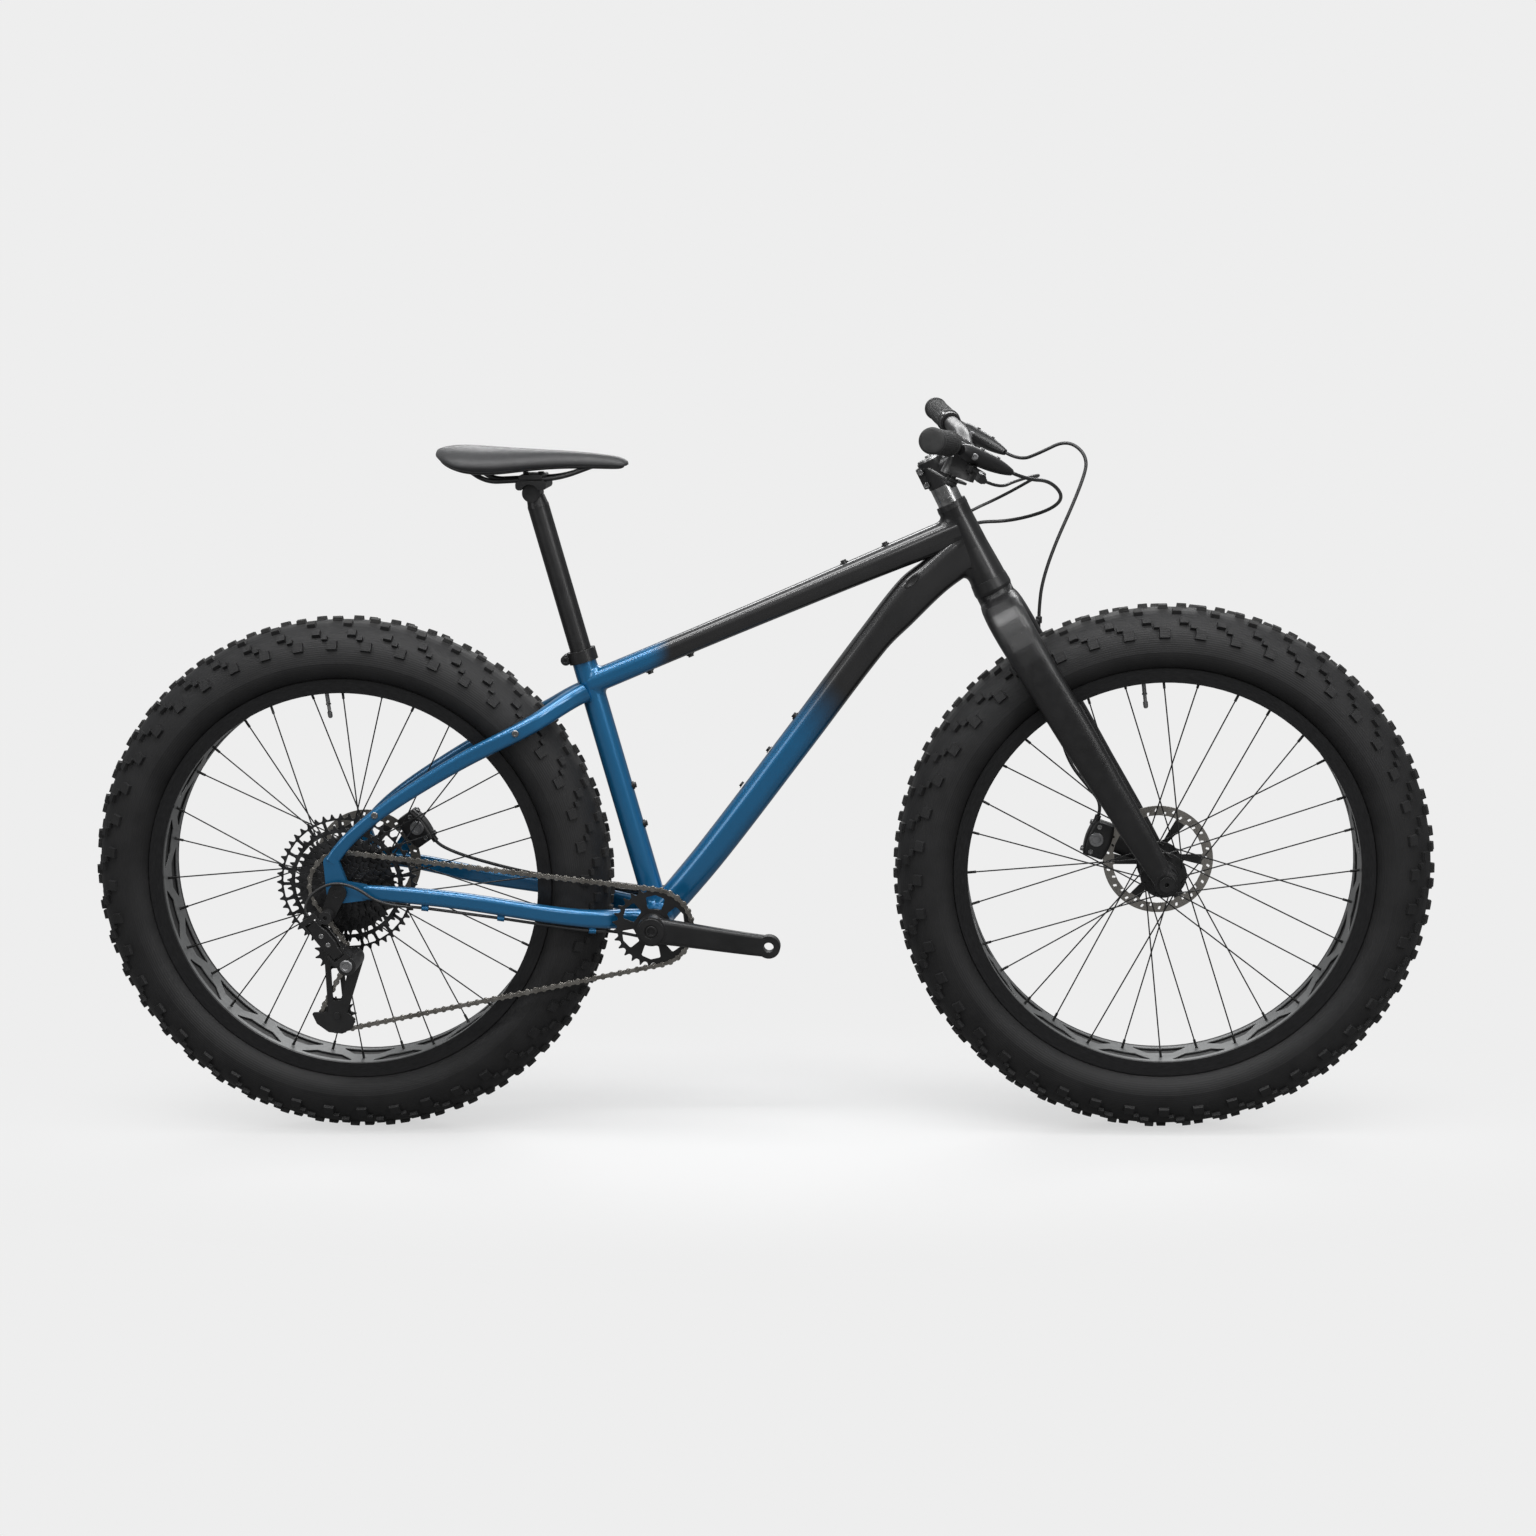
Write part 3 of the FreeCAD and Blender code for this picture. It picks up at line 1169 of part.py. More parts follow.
def steering():
    """Fork, headset spacers, stem, bar, grips and controls."""
    rows = ((0.955, 0, 55, 33, 14), (0.948, 24, 56, 36, 14), (0.915, 51, 57, 38, 14),
            (0.862, 71, 56, 34, 13), (0.78, 80, 54, 30, 12), (0.67, 82, 52, 28, 11),
            (0.52, 83, 50.7, 26, 11), (0.35, 84, 44.5, 23, 10), (0.175, 84.6, 40, 18, 8),
            (0.0, 84.6, 30, 13, 6))
    rows = [(f, -y, a, b, c) for f, y, a, b, c in rows[:0:-1]] + list(rows)
    wide = FRONT_WIDTH / 150.0
    legs = limb([(head(f * CROWN, FORK_RAKE * (1 - 1.05 * f), y * wide), a, b, c)
                 for f, y, a, b, c in dense(rows, 2)], HEAD_FORE, 0.0, True)
    eye = rod(17.5, FRONT + Y * FRONT_INNER, FRONT + Y * (FRONT_INNER + 17))
    arm = ((FRONT.x, FRONT.z, 16.5), (FRONT_CALIPER.x, FRONT_CALIPER.z, 14))
    tab = belt_plate(arm, FRONT_INNER, PLATE)
    centre = head(0)
    top = STEM_LOW + STEM_HEIGHT - 3
    wide = STEERER_RADIUS + 4.0
    profile = [(0, CROWN - 24), (26.5, CROWN - 24), (26.5, CROWN), (wide, CROWN), (wide, HEAD_LOW + 9),
               (STEERER_RADIUS, HEAD_LOW + 40), (STEERER_RADIUS, top), (0, top)]
    steerer = turning(profile, centre, HEAD_UP, HEAD_FORE)
    core = rod(STEERER_RADIUS - 3, head(CROWN - 40), head(top + 5))
    fork = legs.fuse(eye).fuse(mirrored(eye)).fuse(tab).fuse(steerer).cut(core)
    hole = rod(FRONT_AXLE_RADIUS + 0.06, FRONT - Y * 120, FRONT + Y * 120)
    keep("fork", fork.cut(hole))
    low = HEAD_HIGH + UPPER_CUP + GAP
    rings = []
    for k in range(SPACERS):
        start = low + SPACER * k
        rings.append(ring(18.0, STEERER_RADIUS + 0.05, head(start), head(start + SPACER - 0.1)))
    cap_low = STEM_LOW + STEM_HEIGHT
    profile = [(0, cap_low), (18, cap_low), (17, cap_low + 3), (0, cap_low + 4)]
    cap = turning(profile, centre, HEAD_UP, HEAD_FORE)
    bolts = rings + [cap.fuse(bolt(4.5, 2.5, head(cap_low + 3.8), HEAD_UP))]
    mid = STEM_LOW + STEM_HEIGHT / 2
    bar = head(mid, STEM_REACH)
    collar = rod(19.0, head(STEM_LOW), head(cap_low))
    barrel = rod(20.5, bar - Y * 22, bar + Y * 22)
    body = limb([(head(mid, 4), 33, 34, 9), (head(mid, STEM_REACH / 2), 30, 33, 9),
                 (head(mid, STEM_REACH - 8), 34, 38, 9)], HEAD_UP)
    ears = limb([(head(mid, -15), 34, 24, 5), (head(mid, -24), 30, 20, 5)], HEAD_UP)
    stem = collar.multiFuse([barrel, body, ears])
    front = block(head(mid, STEM_REACH + 50), (100, 100, 100), HEAD_FORE, Y, HEAD_UP)
    slit = block(head(mid, -25), (40, 2.5, 60), HEAD_FORE, Y, HEAD_UP)
    bar_bore = rod(BAR_CLAMP_RADIUS + 0.03, bar - Y * 40, bar + Y * 40)
    steer_bore = rod(STEERER_RADIUS + 0.03, head(STEM_LOW - 5), head(cap_low + 5))
    keep("stem", stem.cut([front, slit, bar_bore, steer_bore]))
    plate = limb([(bar - Y * 21, 40, 40, 17), (bar + Y * 21, 40, 40, 17)], HEAD_UP)
    rear_half = block(head(mid, STEM_REACH - 49), (100, 100, 100), HEAD_FORE, Y, HEAD_UP)
    recesses = []
    for side in (-1, 1):
        for lift in (-1, 1):
            at_bolt = head(mid + lift * 15.5, STEM_REACH + 13.0, side * 15)
            recesses.append(rod(3.8, at_bolt, at_bolt + HEAD_FORE * 20))
            bolts.append(bolt(3.6, 3.5, at_bolt, HEAD_FORE))
    keep("stem_faceplate", plate.cut([rear_half, bar_bore] + recesses))
    for lift in (-10, 10):
        bolts.append(bolt(4.0, 3.5, head(mid + lift, -19, -12.2), -Y))
    keep("stem_hardware", *bolts)
    points = [(32, 1.0), (42, 0.99), (65, 0.92), (95, 0.80), (125, 0.73)]
    points = [(bar_at(y), BAR_CLAMP_RADIUS * size) for y, size in points]
    points += [(bar_at(y), BAR_RADIUS) for y in (145, 150)]
    half = round_limb(points).fuse(rod(BAR_RADIUS, bar_at(150), bar_at(BAR_HALF - 4)))
    keep("handlebar", rod(BAR_CLAMP_RADIUS, bar - Y * 32, bar + Y * 32).multiFuse(both(half)))


def bar_at(y):
    """Centre of the bar at a distance y to the left of the stem."""
    start = head(STEM_LOW + STEM_HEIGHT / 2, STEM_REACH)
    t = min(max((y - 45) / 100.0, 0.0), 1.0)
    rise = BAR_RISE * t * t * (3 - 2 * t)
    run = max(y - 110, 0.0)
    up = rise + run * math.tan(math.radians(BAR_UPSWEEP))
    return start + V(-run * math.tan(math.radians(BAR_SWEEP)), y, up)


BAR_OUT = unit(bar_at(BAR_HALF - 4) - bar_at(BAR_HALF - 104))
LEVER_DIP = math.radians(28.0)
LEVER_FORE = V(math.cos(LEVER_DIP), 0, -math.sin(LEVER_DIP))
LEVER_UP = V(math.sin(LEVER_DIP), 0, math.cos(LEVER_DIP))
BRAKE_Y = BAR_HALF - GRIP_LENGTH - 14.0
SHIFT_Y = BRAKE_Y - 20.0
BRAKE_AT = bar_at(BRAKE_Y)
LEVER_PIVOT = BRAKE_AT + LEVER_FORE * 40 - Y * 6 - LEVER_UP * 16
MASTER_TIP = BRAKE_AT + LEVER_FORE * 91 - Y * 48
SHIFT_AT = bar_at(SHIFT_Y)
SHIFT_PIVOT = SHIFT_AT + LEVER_FORE * 22 - LEVER_UP * 40 - Y * 14
SHIFT_BARREL = SHIFT_PIVOT + LEVER_UP * 14 + LEVER_FORE * 25 - Y * 8
SHIFT_EXIT = SHIFT_BARREL + LEVER_FORE * 15 - Y * 8


def controls():
    end = bar_at(BAR_HALF - 4)
    inner = end - BAR_OUT * GRIP_LENGTH
    grip = rod(GRIP_RADIUS, inner, end + BAR_OUT * 3.5)
    collar = rod(GRIP_RADIUS + 1.5, inner, inner + BAR_OUT * 9)
    tip = rod(GRIP_RADIUS + 1.2, end - BAR_OUT * 8, end + BAR_OUT * 3.0)
    grip = grip.multiFuse([collar, tip]).cut(rod(BAR_RADIUS + 0.25, inner - BAR_OUT, end + BAR_OUT * 0.2))
    keep("grips", *both(grip))
    clamp = rod(15.5, BRAKE_AT - BAR_OUT * 6, BRAKE_AT + BAR_OUT * 6)
    foot = limb([(BRAKE_AT + LEVER_FORE * 8, 20, 12, 4), (BRAKE_AT + LEVER_FORE * 30, 18, 14, 4)], LEVER_UP)
    rows = ((16, 14, 7.0), (24, 5, 11.0), (40, -8, 11.8), (64, -28, 10.5), (83, -42, 7.0), (91, -48, 4.5))
    body = round_limb([(BRAKE_AT + LEVER_FORE * fore + Y * y, radius) for fore, y, radius in rows])
    pin = rod(2.5, LEVER_PIVOT - LEVER_UP * 6, LEVER_PIVOT + LEVER_UP * 12)
    nut = rod(4.5, LEVER_PIVOT - LEVER_UP * 7.5, LEVER_PIVOT - LEVER_UP * 5.4)
    master = clamp.multiFuse([foot, body, pin, nut])
    master = master.cut(rod(BAR_RADIUS + 0.25, BRAKE_AT - BAR_OUT * 20, BRAKE_AT + BAR_OUT * 20))
    keep("brake_masters", *both(master))
    eye = rod(7.0, LEVER_PIVOT - LEVER_UP * 5, LEVER_PIVOT + LEVER_UP * 3.2)
    rows = ((1, 0, 8, 9), (12, 22, 9, 8), (14, 55, 12, 8), (10, 85, 13, 8), (14, 102, 12, 8))
    stations = []
    for fore, y, high, deep in rows:
        stations.append((LEVER_PIVOT + LEVER_FORE * fore + Y * y, high, deep, 3))
    blade = limb(stations, LEVER_UP)
    lever = eye.fuse(blade).cut(rod(2.8, LEVER_PIVOT - LEVER_UP * 20, LEVER_PIVOT + LEVER_UP * 20))
    keep("brake_lever_left", lever)
    keep("brake_lever_right", mirrored(lever))
    shifter()


def shifter():
    """Trigger shifter on the right: clamp, pod, thumb paddle and release lever, built left then mirrored."""
    clamp = rod(15.0, SHIFT_AT - BAR_OUT * 5, SHIFT_AT + BAR_OUT * 5)
    pod = limb([(SHIFT_PIVOT + LEVER_UP * 36 - LEVER_FORE * 8 + Y * 10, 26, 14, 5),
                (SHIFT_PIVOT + LEVER_UP * 20 + LEVER_FORE * 1, 42, 32, 10),
                (SHIFT_PIVOT + LEVER_UP * 4 + LEVER_FORE * 3, 46, 36, 11)], LEVER_FORE)
    barrel = rod(4.2, SHIFT_BARREL - LEVER_FORE * 7 + Y * 4, SHIFT_EXIT)
    pin = rod(3.0, SHIFT_PIVOT + LEVER_UP * 6, SHIFT_PIVOT - LEVER_UP * 10.5)
    nut = rod(5.5, SHIFT_PIVOT - LEVER_UP * 12, SHIFT_PIVOT - LEVER_UP * 10)
    body = clamp.multiFuse([pod, barrel, pin, nut])
    body = body.cut(rod(BAR_RADIUS + 0.25, SHIFT_AT - BAR_OUT * 50, SHIFT_AT + BAR_OUT * 20))
    keep("shifter_body", mirrored(body))
    paddles = (("shift_paddle", -9.4, -4.9, V(-30, -34, 0), 15),
               ("release_lever", -4.4, -0.4, V(16, -38, 0), 11))
    for name, low, high, reach, width in paddles:
        base = SHIFT_PIVOT + LEVER_UP * low
        thick = LEVER_UP * (high - low)
        eye = rod(8.0, base, base + thick)
        middle = base + thick * 0.5
        out = LEVER_FORE * reach.x + Y * reach.y
        rows = ((0.0, 12), (0.6, 11), (1.0, width))
        arm = limb([(middle + out * part, 4.0, wide, 1.8) for part, wide in rows], LEVER_UP)
        lever = eye.fuse(arm).cut(rod(3.3, base - thick, base + thick * 2))
        keep(name, mirrored(lever))


# Saddle and post
SADDLE_AT = seat(SADDLE_HEIGHT)
TILT = SADDLE_AT - Z * 8.0
SADDLE = (
    (-131, 34, 58, 51, 45),
    (-115, 60, 61, 43, 33),
    (-80, 72, 60, 37, 22),
    (-45, 66, 57, 36, 20),
    (-5, 46, 54, 37, 24),
    (40, 29, 51, 37, 26),
    (85, 22, 47, 35, 25),
    (120, 19, 42, 32, 23),
    (138, 11, 34, 29, 24),
)


def saddle():
    """Crowned saddle with drawn-in sides on two rails, a cradle clamp and the post."""
    wires = []
    for x, half, top, edge, low in SADDLE:
        c = SADDLE_AT + X * x
        base = [c + V(0, y, low) for y in (-0.72 * half, 0.72 * half)]
        rim_points = [c + V(0, y, edge) for y in (0.98 * half, -0.98 * half)]
        wires.append(Part.Wire([
            Part.LineSegment(base[0], base[1]).toShape(),
            Part.Arc(base[1], c + V(0, 0.94 * half, low + 0.42 * (edge - low)), rim_points[0]).toShape(),
            Part.Arc(rim_points[0], c + V(0, 0, top), rim_points[1]).toShape(),
            Part.Arc(rim_points[1], c + V(0, -0.94 * half, low + 0.42 * (edge - low)), base[0]).toShape(),
        ]))
    cushion = loft(wires)
    path = [V(-96, 34, 36), V(-62, 24, 10), V(42, 22, 13), V(96, 9, 31)]
    rail = cord([SADDLE_AT + p for p in path], 3.5, 0.4)
    rails = both(rail)
    keep("saddle", largest(cushion.cut(list(rails))))
    keep("saddle_rails", *rails)
    cradle = limb([(SADDLE_AT + V(2, -29, 4), 44, 13, 5), (SADDLE_AT + V(2, 29, 4), 44, 13, 5)], X)
    cover = limb([(SADDLE_AT + V(2, -28, 15.7), 34, 6.6, 3), (SADDLE_AT + V(2, 28, 15.7), 34, 6.6, 3)], X)
    drum = rod(13.0 + GAP, TILT - Y * 40, TILT + Y * 40)
    lower = cradle.cut([drum] + list(rails))
    upper = cover.cut(list(rails))
    screws = [bolt(4.0, 2.6, SADDLE_AT + V(x, 0, 19.0), Z) for x in (-9, 13)]
    keep("saddle_clamp", lower, upper, *screws)
    top = seat(SADDLE_HEIGHT - 14)
    low = seat(SEAT_TUBE_LENGTH - POST_BELOW)
    tube = ring(POST_RADIUS, POST_RADIUS - 2.4, low, seat(SADDLE_HEIGHT - 26))
    wide = 2 * POST_RADIUS
    neck = limb([(seat(SADDLE_HEIGHT - 30), wide, wide, 14), (top, 25, 28, 11)], SEAT_FORE)
    barrel = rod(13.0, TILT - Y * 17, TILT + Y * 17)
    keep("seatpost", tube.multiFuse([neck, barrel]))


# Hoses and cables


def on_right(p):
    return V(p.x, -p.y, p.z)


def hoses():
    front = caliper(FRONT_CALIPER, FRONT, FRONT_INNER - ROTOR_INSET, -1)
    rear = caliper(REAR_CALIPER, REAR, REAR_INNER - ROTOR_INSET, -1)
    keep("front_caliper", *front)
    keep("rear_caliper", *rear)
    tip = MASTER_TIP
    ahead = unit(LEVER_FORE * 8 - Y * 6)
    out = unit(FRONT_CALIPER - FRONT)
    down = V(out.z, 0, -out.x)
    fit = FRONT_CALIPER + Y * (FRONT_INNER - ROTOR_INSET) + out * HOSE_OUT + down * 33
    leg = FRONT_INNER
    front_hose = [tip, tip + ahead * 30, tip + V(79, -36, 5), tip + V(117, -53, 12), tip + V(95, -66, -55),
                  head(0.963 * CROWN, 73, leg + 23), head(0.83 * CROWN, 34, leg + 20),
                  head(0.70 * CROWN, 10, leg + 26), head(0.52 * CROWN, -4, leg + 26),
                  head(0.38 * CROWN, -21, leg + 4), fit + down * 25, fit]
    keep("front_brake_hose", cord(front_hose, HOSE_RADIUS))
    side = unit(HEAD_FORE * 12 + Y * 21)
    entry = head(HEAD_HIGH - 36) + side * 23.6
    go = on_right(ahead)
    start = on_right(tip) + go * GAP
    rear_loop = [start, start + go * 30, start + V(54, 76, -18), start + V(76, 136, -46),
                 start + V(58, 186, -69), start + V(4, 236, -88), entry + side * 16, entry]
    keep("rear_hose_loop", cord(rear_loop, HOSE_RADIUS))
    go = unit(on_right(LEVER_FORE * 15 - Y * 8))
    start = on_right(SHIFT_EXIT) + go * GAP
    entry = head(HEAD_HIGH - 18) + side * 22.8
    shift_loop = [start, start + go * 25, start + V(42, 64, -5), start + V(77, 124, -2),
                  start + V(73, 184, -11), start + V(28, 230, -40), entry + side * 16, entry]
    keep("shift_cable_loop", cord(shift_loop, CABLE_RADIUS))
    rear_lines()


GUIDE_STATIONS = (2, 4, 5)


def housing_point(i):
    """Centre of the shift housing below station i of the right chainstay."""
    f, y, rise, h, w = CHAINSTAY[i]
    return chainstay_point(f, -y, rise - h / 2 - CABLE_RADIUS - 2.6)


def housing_along(i):
    return unit(housing_point(i - 1) - housing_point(i + 1))


def cable_guides(stay_form):
    """Three loops with a foot under the right chainstay that hold the shift housing."""
    guides = []
    for i in GUIDE_STATIONS:
        c = housing_point(i)
        reach = housing_along(i) * 5
        foot = limb([(c + Z * 1, 5, 10, 1), (c + Z * 9, 6, 10, 1)], Y).cut(stay_form)
        loop = rod(CABLE_RADIUS + 2.0, c - reach, c + reach).fuse(foot)
        guides.append(loop.cut(rod(CABLE_RADIUS + 0.2, c - reach * 2, c + reach * 2)))
    return guides


def rear_lines():
    """Rear brake hose along the left chainstay and shift housing under the right one."""
    out = unit(REAR_CALIPER - REAR)
    down = V(out.z, 0, -out.x)
    fit = REAR_CALIPER + Y * (REAR_INNER - ROTOR_INSET) + out * HOSE_OUT + down * 33
    lift = HOSE_RADIUS + 0.6
    hose = [fit, fit + down * 16]
    for f, y, rise, h, w in CHAINSTAY[4:1:-1]:
        hose.append(chainstay_point(f, y, rise + h / 2 + lift))
    hose.append(chainstay_point(0.115, 46, 14 + lift))
    hose.append(BB + V(-6, 34, BB_RADIUS + lift))
    keep("rear_brake_hose", cord(hose, HOSE_RADIUS))
    lift = CABLE_RADIUS + 1.2
    web = LINK_FOOT - LINK_DIR * 15 + Y * ((LINK_IN + LINK_OUT) / 2)
    line = [BB + V(-6, -40, -BB_RADIUS - lift)]
    for i in range(1, 6):
        reach = housing_along(i) * 8
        if i in GUIDE_STATIONS:
            line += [housing_point(i) + reach, housing_point(i) - reach]
        else:
            line.append(housing_point(i))
    cable_y = HANGER_Y - 6.0 - CABLE_RADIUS - 2.0
    line += [V(REAR.x + 62, cable_y + 2, REAR.z - 16), V(REAR.x + 22, cable_y, REAR.z + 9),
             V(REAR.x - 22, cable_y, REAR.z + 6), web - LINK_DIR * 18, web]
    keep("rear_shift_housing", cord(line, CABLE_RADIUS))


wheels()
chain()
cassette()
cranks()
derailleur()
frame()
axles()
steering()
controls()
saddle()
hoses()
os.makedirs("parts", exist_ok=True)
for node, shape in BUILT.items():
    shape.exportStep("parts/" + node + ".step")
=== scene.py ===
"""Studio scene of a fat tyre bicycle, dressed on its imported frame. Everything is in metres."""

import math

import bmesh
import bpy
from mathutils import Matrix, Vector
from mathutils.bvhtree import BVHTree


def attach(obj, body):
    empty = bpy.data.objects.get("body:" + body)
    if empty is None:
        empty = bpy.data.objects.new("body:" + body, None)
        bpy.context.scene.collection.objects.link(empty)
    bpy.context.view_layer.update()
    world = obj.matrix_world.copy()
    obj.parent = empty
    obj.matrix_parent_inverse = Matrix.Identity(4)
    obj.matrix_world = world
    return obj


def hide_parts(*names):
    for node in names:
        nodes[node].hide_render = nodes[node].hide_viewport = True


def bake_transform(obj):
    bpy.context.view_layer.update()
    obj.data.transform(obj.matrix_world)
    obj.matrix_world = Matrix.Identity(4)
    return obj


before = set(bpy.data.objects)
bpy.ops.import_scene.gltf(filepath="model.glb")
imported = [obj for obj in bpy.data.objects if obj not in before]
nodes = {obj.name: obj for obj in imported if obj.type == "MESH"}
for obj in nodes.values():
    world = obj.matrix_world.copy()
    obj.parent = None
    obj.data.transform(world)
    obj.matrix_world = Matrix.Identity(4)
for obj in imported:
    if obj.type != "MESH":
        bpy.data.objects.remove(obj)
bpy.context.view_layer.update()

FRONT = Vector((0.590, 0.0, 0.386))
REAR = Vector((-0.590, 0.0, 0.386))
BB = Vector((-0.141, 0.0, 0.322))
BAR_OUT = Vector((-0.1557, 0.9833, 0.0947))
BAR_END = Vector((0.2707, 0.376, 1.0307))
SADDLE_AT = Vector((-0.3005, 0.0, 0.9521))
X = Vector((1, 0, 0))
Y = Vector((0, 1, 0))
Z = Vector((0, 0, 1))


# Camera and stage

CAMERA_AT = (0.296, -3.471, 1.236)
CAMERA_YAW, CAMERA_PITCH, CAMERA_ROLL = (math.radians(a) for a in (4.46, 11.3, -1.46))
SENSOR = 36.0
FOCAL_SHARE = 2454.0 / 1536.0


def aim_camera():
    flat = math.cos(CAMERA_PITCH)
    forward = Vector((-math.sin(CAMERA_YAW) * flat, math.cos(CAMERA_YAW) * flat, -math.sin(CAMERA_PITCH)))
    right = Vector((math.cos(CAMERA_YAW), math.sin(CAMERA_YAW), 0))
    up = right.cross(forward)
    turned_right = right * math.cos(CAMERA_ROLL) + up * math.sin(CAMERA_ROLL)
    turned_up = up * math.cos(CAMERA_ROLL) - right * math.sin(CAMERA_ROLL)
    data = bpy.data.cameras.new("camera")
    data.sensor_width = SENSOR
    data.lens = SENSOR * FOCAL_SHARE
    data.clip_end = 60.0
    camera = bpy.data.objects.new("camera", data)
    bpy.context.scene.collection.objects.link(camera)
    axes = Matrix((turned_right, turned_up, -forward)).transposed()
    camera.matrix_world = Matrix.Translation(CAMERA_AT) @ axes.to_4x4()
    bpy.context.scene.camera = camera


def add_node(tree, kind, values=None, feeds=None, **options):
    """A new shader node with its settings, input values and links into its inputs."""
    node = tree.nodes.new(kind)
    for key, value in options.items():
        setattr(node, key, value)
    for key, value in (values or {}).items():
        node.inputs[key].default_value = value
    for key, source in (feeds or {}).items():
        tree.links.new(source, node.inputs[key])
    return node


def ramp(low, high, to_low, to_high):
    """Input values of a node that maps one range to another."""
    return {"From Min": low, "From Max": high, "To Min": to_low, "To Max": to_high}


def ray_share(tree):
    """1 for rays that show the backdrop, which are camera and transmission rays, a share for glossy ones."""
    path = add_node(tree, "ShaderNodeLightPath").outputs
    glossy = {0: path["Is Glossy Ray"]}
    seen = add_node(tree, "ShaderNodeMath", {1: GLOSSY_SHARE}, glossy, operation="MULTIPLY").outputs[0]
    for name in ("Is Transmission Ray", "Is Camera Ray"):
        feeds = {0: seen, 1: path[name]}
        seen = add_node(tree, "ShaderNodeMath", None, feeds, operation="MAXIMUM").outputs[0]
    return seen


def mix_shaders(tree, factor, first, second):
    feeds = {0: factor, 1: first.outputs[0], 2: second.outputs[0]}
    return add_node(tree, "ShaderNodeMixShader", None, feeds)


BACKDROP = (0.855, 0.855, 0.855, 1.0)
ROOM_TINT = (0.95, 0.975, 1.0, 1.0)
GLOSSY_SHARE = 0.15
# Name, place, target, width, height, watts
LAMPS = (
    ("overhead", (0.0, -0.5, 2.9), (0.0, 0.0, 0.4), 3.6, 0.7, 62.0),
    ("strip", (0.0, -1.5, 2.7), (0.0, 0.0, 0.5), 4.0, 0.14, 34.0),
    ("key", (2.7, -2.5, 1.9), (0.2, 0.0, 0.6), 0.8, 1.6, 34.0),
    ("front", (0.6, -4.2, 2.2), (0.0, 0.0, 0.5), 2.4, 1.0, 30.0),
    ("fill", (-2.8, -2.6, 1.3), (-0.2, 0.0, 0.6), 1.2, 1.6, 16.0),
    ("rim", (0.2, 2.9, 2.4), (0.0, 0.0, 0.6), 3.2, 0.8, 52.0),
)


def light_studio():
    """An overhead soft box, a front key and rim lamps, in a room that is bright above and dim below."""
    scene = bpy.context.scene
    scene.view_settings.view_transform = "Standard"
    world = bpy.data.worlds.new("studio")
    scene.world = world
    world.use_nodes = True
    tree = world.node_tree
    tree.nodes.clear()
    out = add_node(tree, "ShaderNodeOutputWorld")
    way = add_node(tree, "ShaderNodeTexCoord").outputs["Generated"]
    split = add_node(tree, "ShaderNodeSeparateXYZ", None, {0: way})
    room = add_node(tree, "ShaderNodeMapRange", ramp(-0.15, 0.85, 0.04, 0.55), {"Value": split.outputs["Z"]},
                    interpolation_type="SMOOTHSTEP")
    lit = add_node(tree, "ShaderNodeBackground", {"Color": ROOM_TINT}, {"Strength": room.outputs[0]})
    shown = add_node(tree, "ShaderNodeBackground", {"Color": BACKDROP})
    mix = mix_shaders(tree, ray_share(tree), lit, shown)
    tree.links.new(mix.outputs[0], out.inputs["Surface"])
    for name, place, target, width, height, power in LAMPS:
        data = bpy.data.lights.new(name, "AREA")
        data.shape = "RECTANGLE"
        data.size = width
        data.size_y = height
        data.energy = power
        lamp = bpy.data.objects.new(name, data)
        lamp.location = place
        lamp.rotation_euler = (Vector(target) - Vector(place)).to_track_quat("-Z", "Y").to_euler()
        scene.collection.objects.link(lamp)


FLOOR_HALF = 9.0
PALE = (0.70, 0.70, 0.70, 1.0)
DULL = (0.12, 0.12, 0.12, 1.0)
SHADOW_STRETCH = (0.72, 1.9, 1.0)


def lay_floor():
    """Pale floor: the camera sees the backdrop with the shadow on it, the object a duller floor."""
    mesh = bpy.data.meshes.new("floor")
    corners = [(FLOOR_HALF * x, FLOOR_HALF * y, 0) for x, y in ((-1, -1), (1, -1), (1, 1), (-1, 1))]
    mesh.from_pydata(corners, [], [(0, 1, 2, 3)])
    floor = bpy.data.objects.new("floor", mesh)
    bpy.context.scene.collection.objects.link(floor)
    mat = bpy.data.materials.new("pale_floor")
    mat.use_nodes = True
    tree = mat.node_tree
    tree.nodes.clear()
    out = add_node(tree, "ShaderNodeOutputMaterial")
    pale = add_node(tree, "ShaderNodeBsdfDiffuse", {"Color": PALE})
    dull = add_node(tree, "ShaderNodeBsdfDiffuse", {"Color": DULL})
    shown = add_node(tree, "ShaderNodeEmission", {"Color": BACKDROP})
    place = add_node(tree, "ShaderNodeTexCoord").outputs["Object"]
    stretch = add_node(tree, "ShaderNodeMapping", {"Scale": SHADOW_STRETCH}, {"Vector": place})
    far = add_node(tree, "ShaderNodeVectorMath", None, {0: stretch.outputs[0]}, operation="LENGTH")
    fade = add_node(tree, "ShaderNodeMapRange", ramp(0.15, 1.05, 0.62, 1.0), {"Value": far.outputs["Value"]},
                    interpolation_type="SMOOTHSTEP")
    near = mix_shaders(tree, fade.outputs[0], pale, shown)
    mix = mix_shaders(tree, ray_share(tree), dull, near)
    tree.links.new(mix.outputs[0], out.inputs["Surface"])
    mesh.materials.append(mat)


# Materials

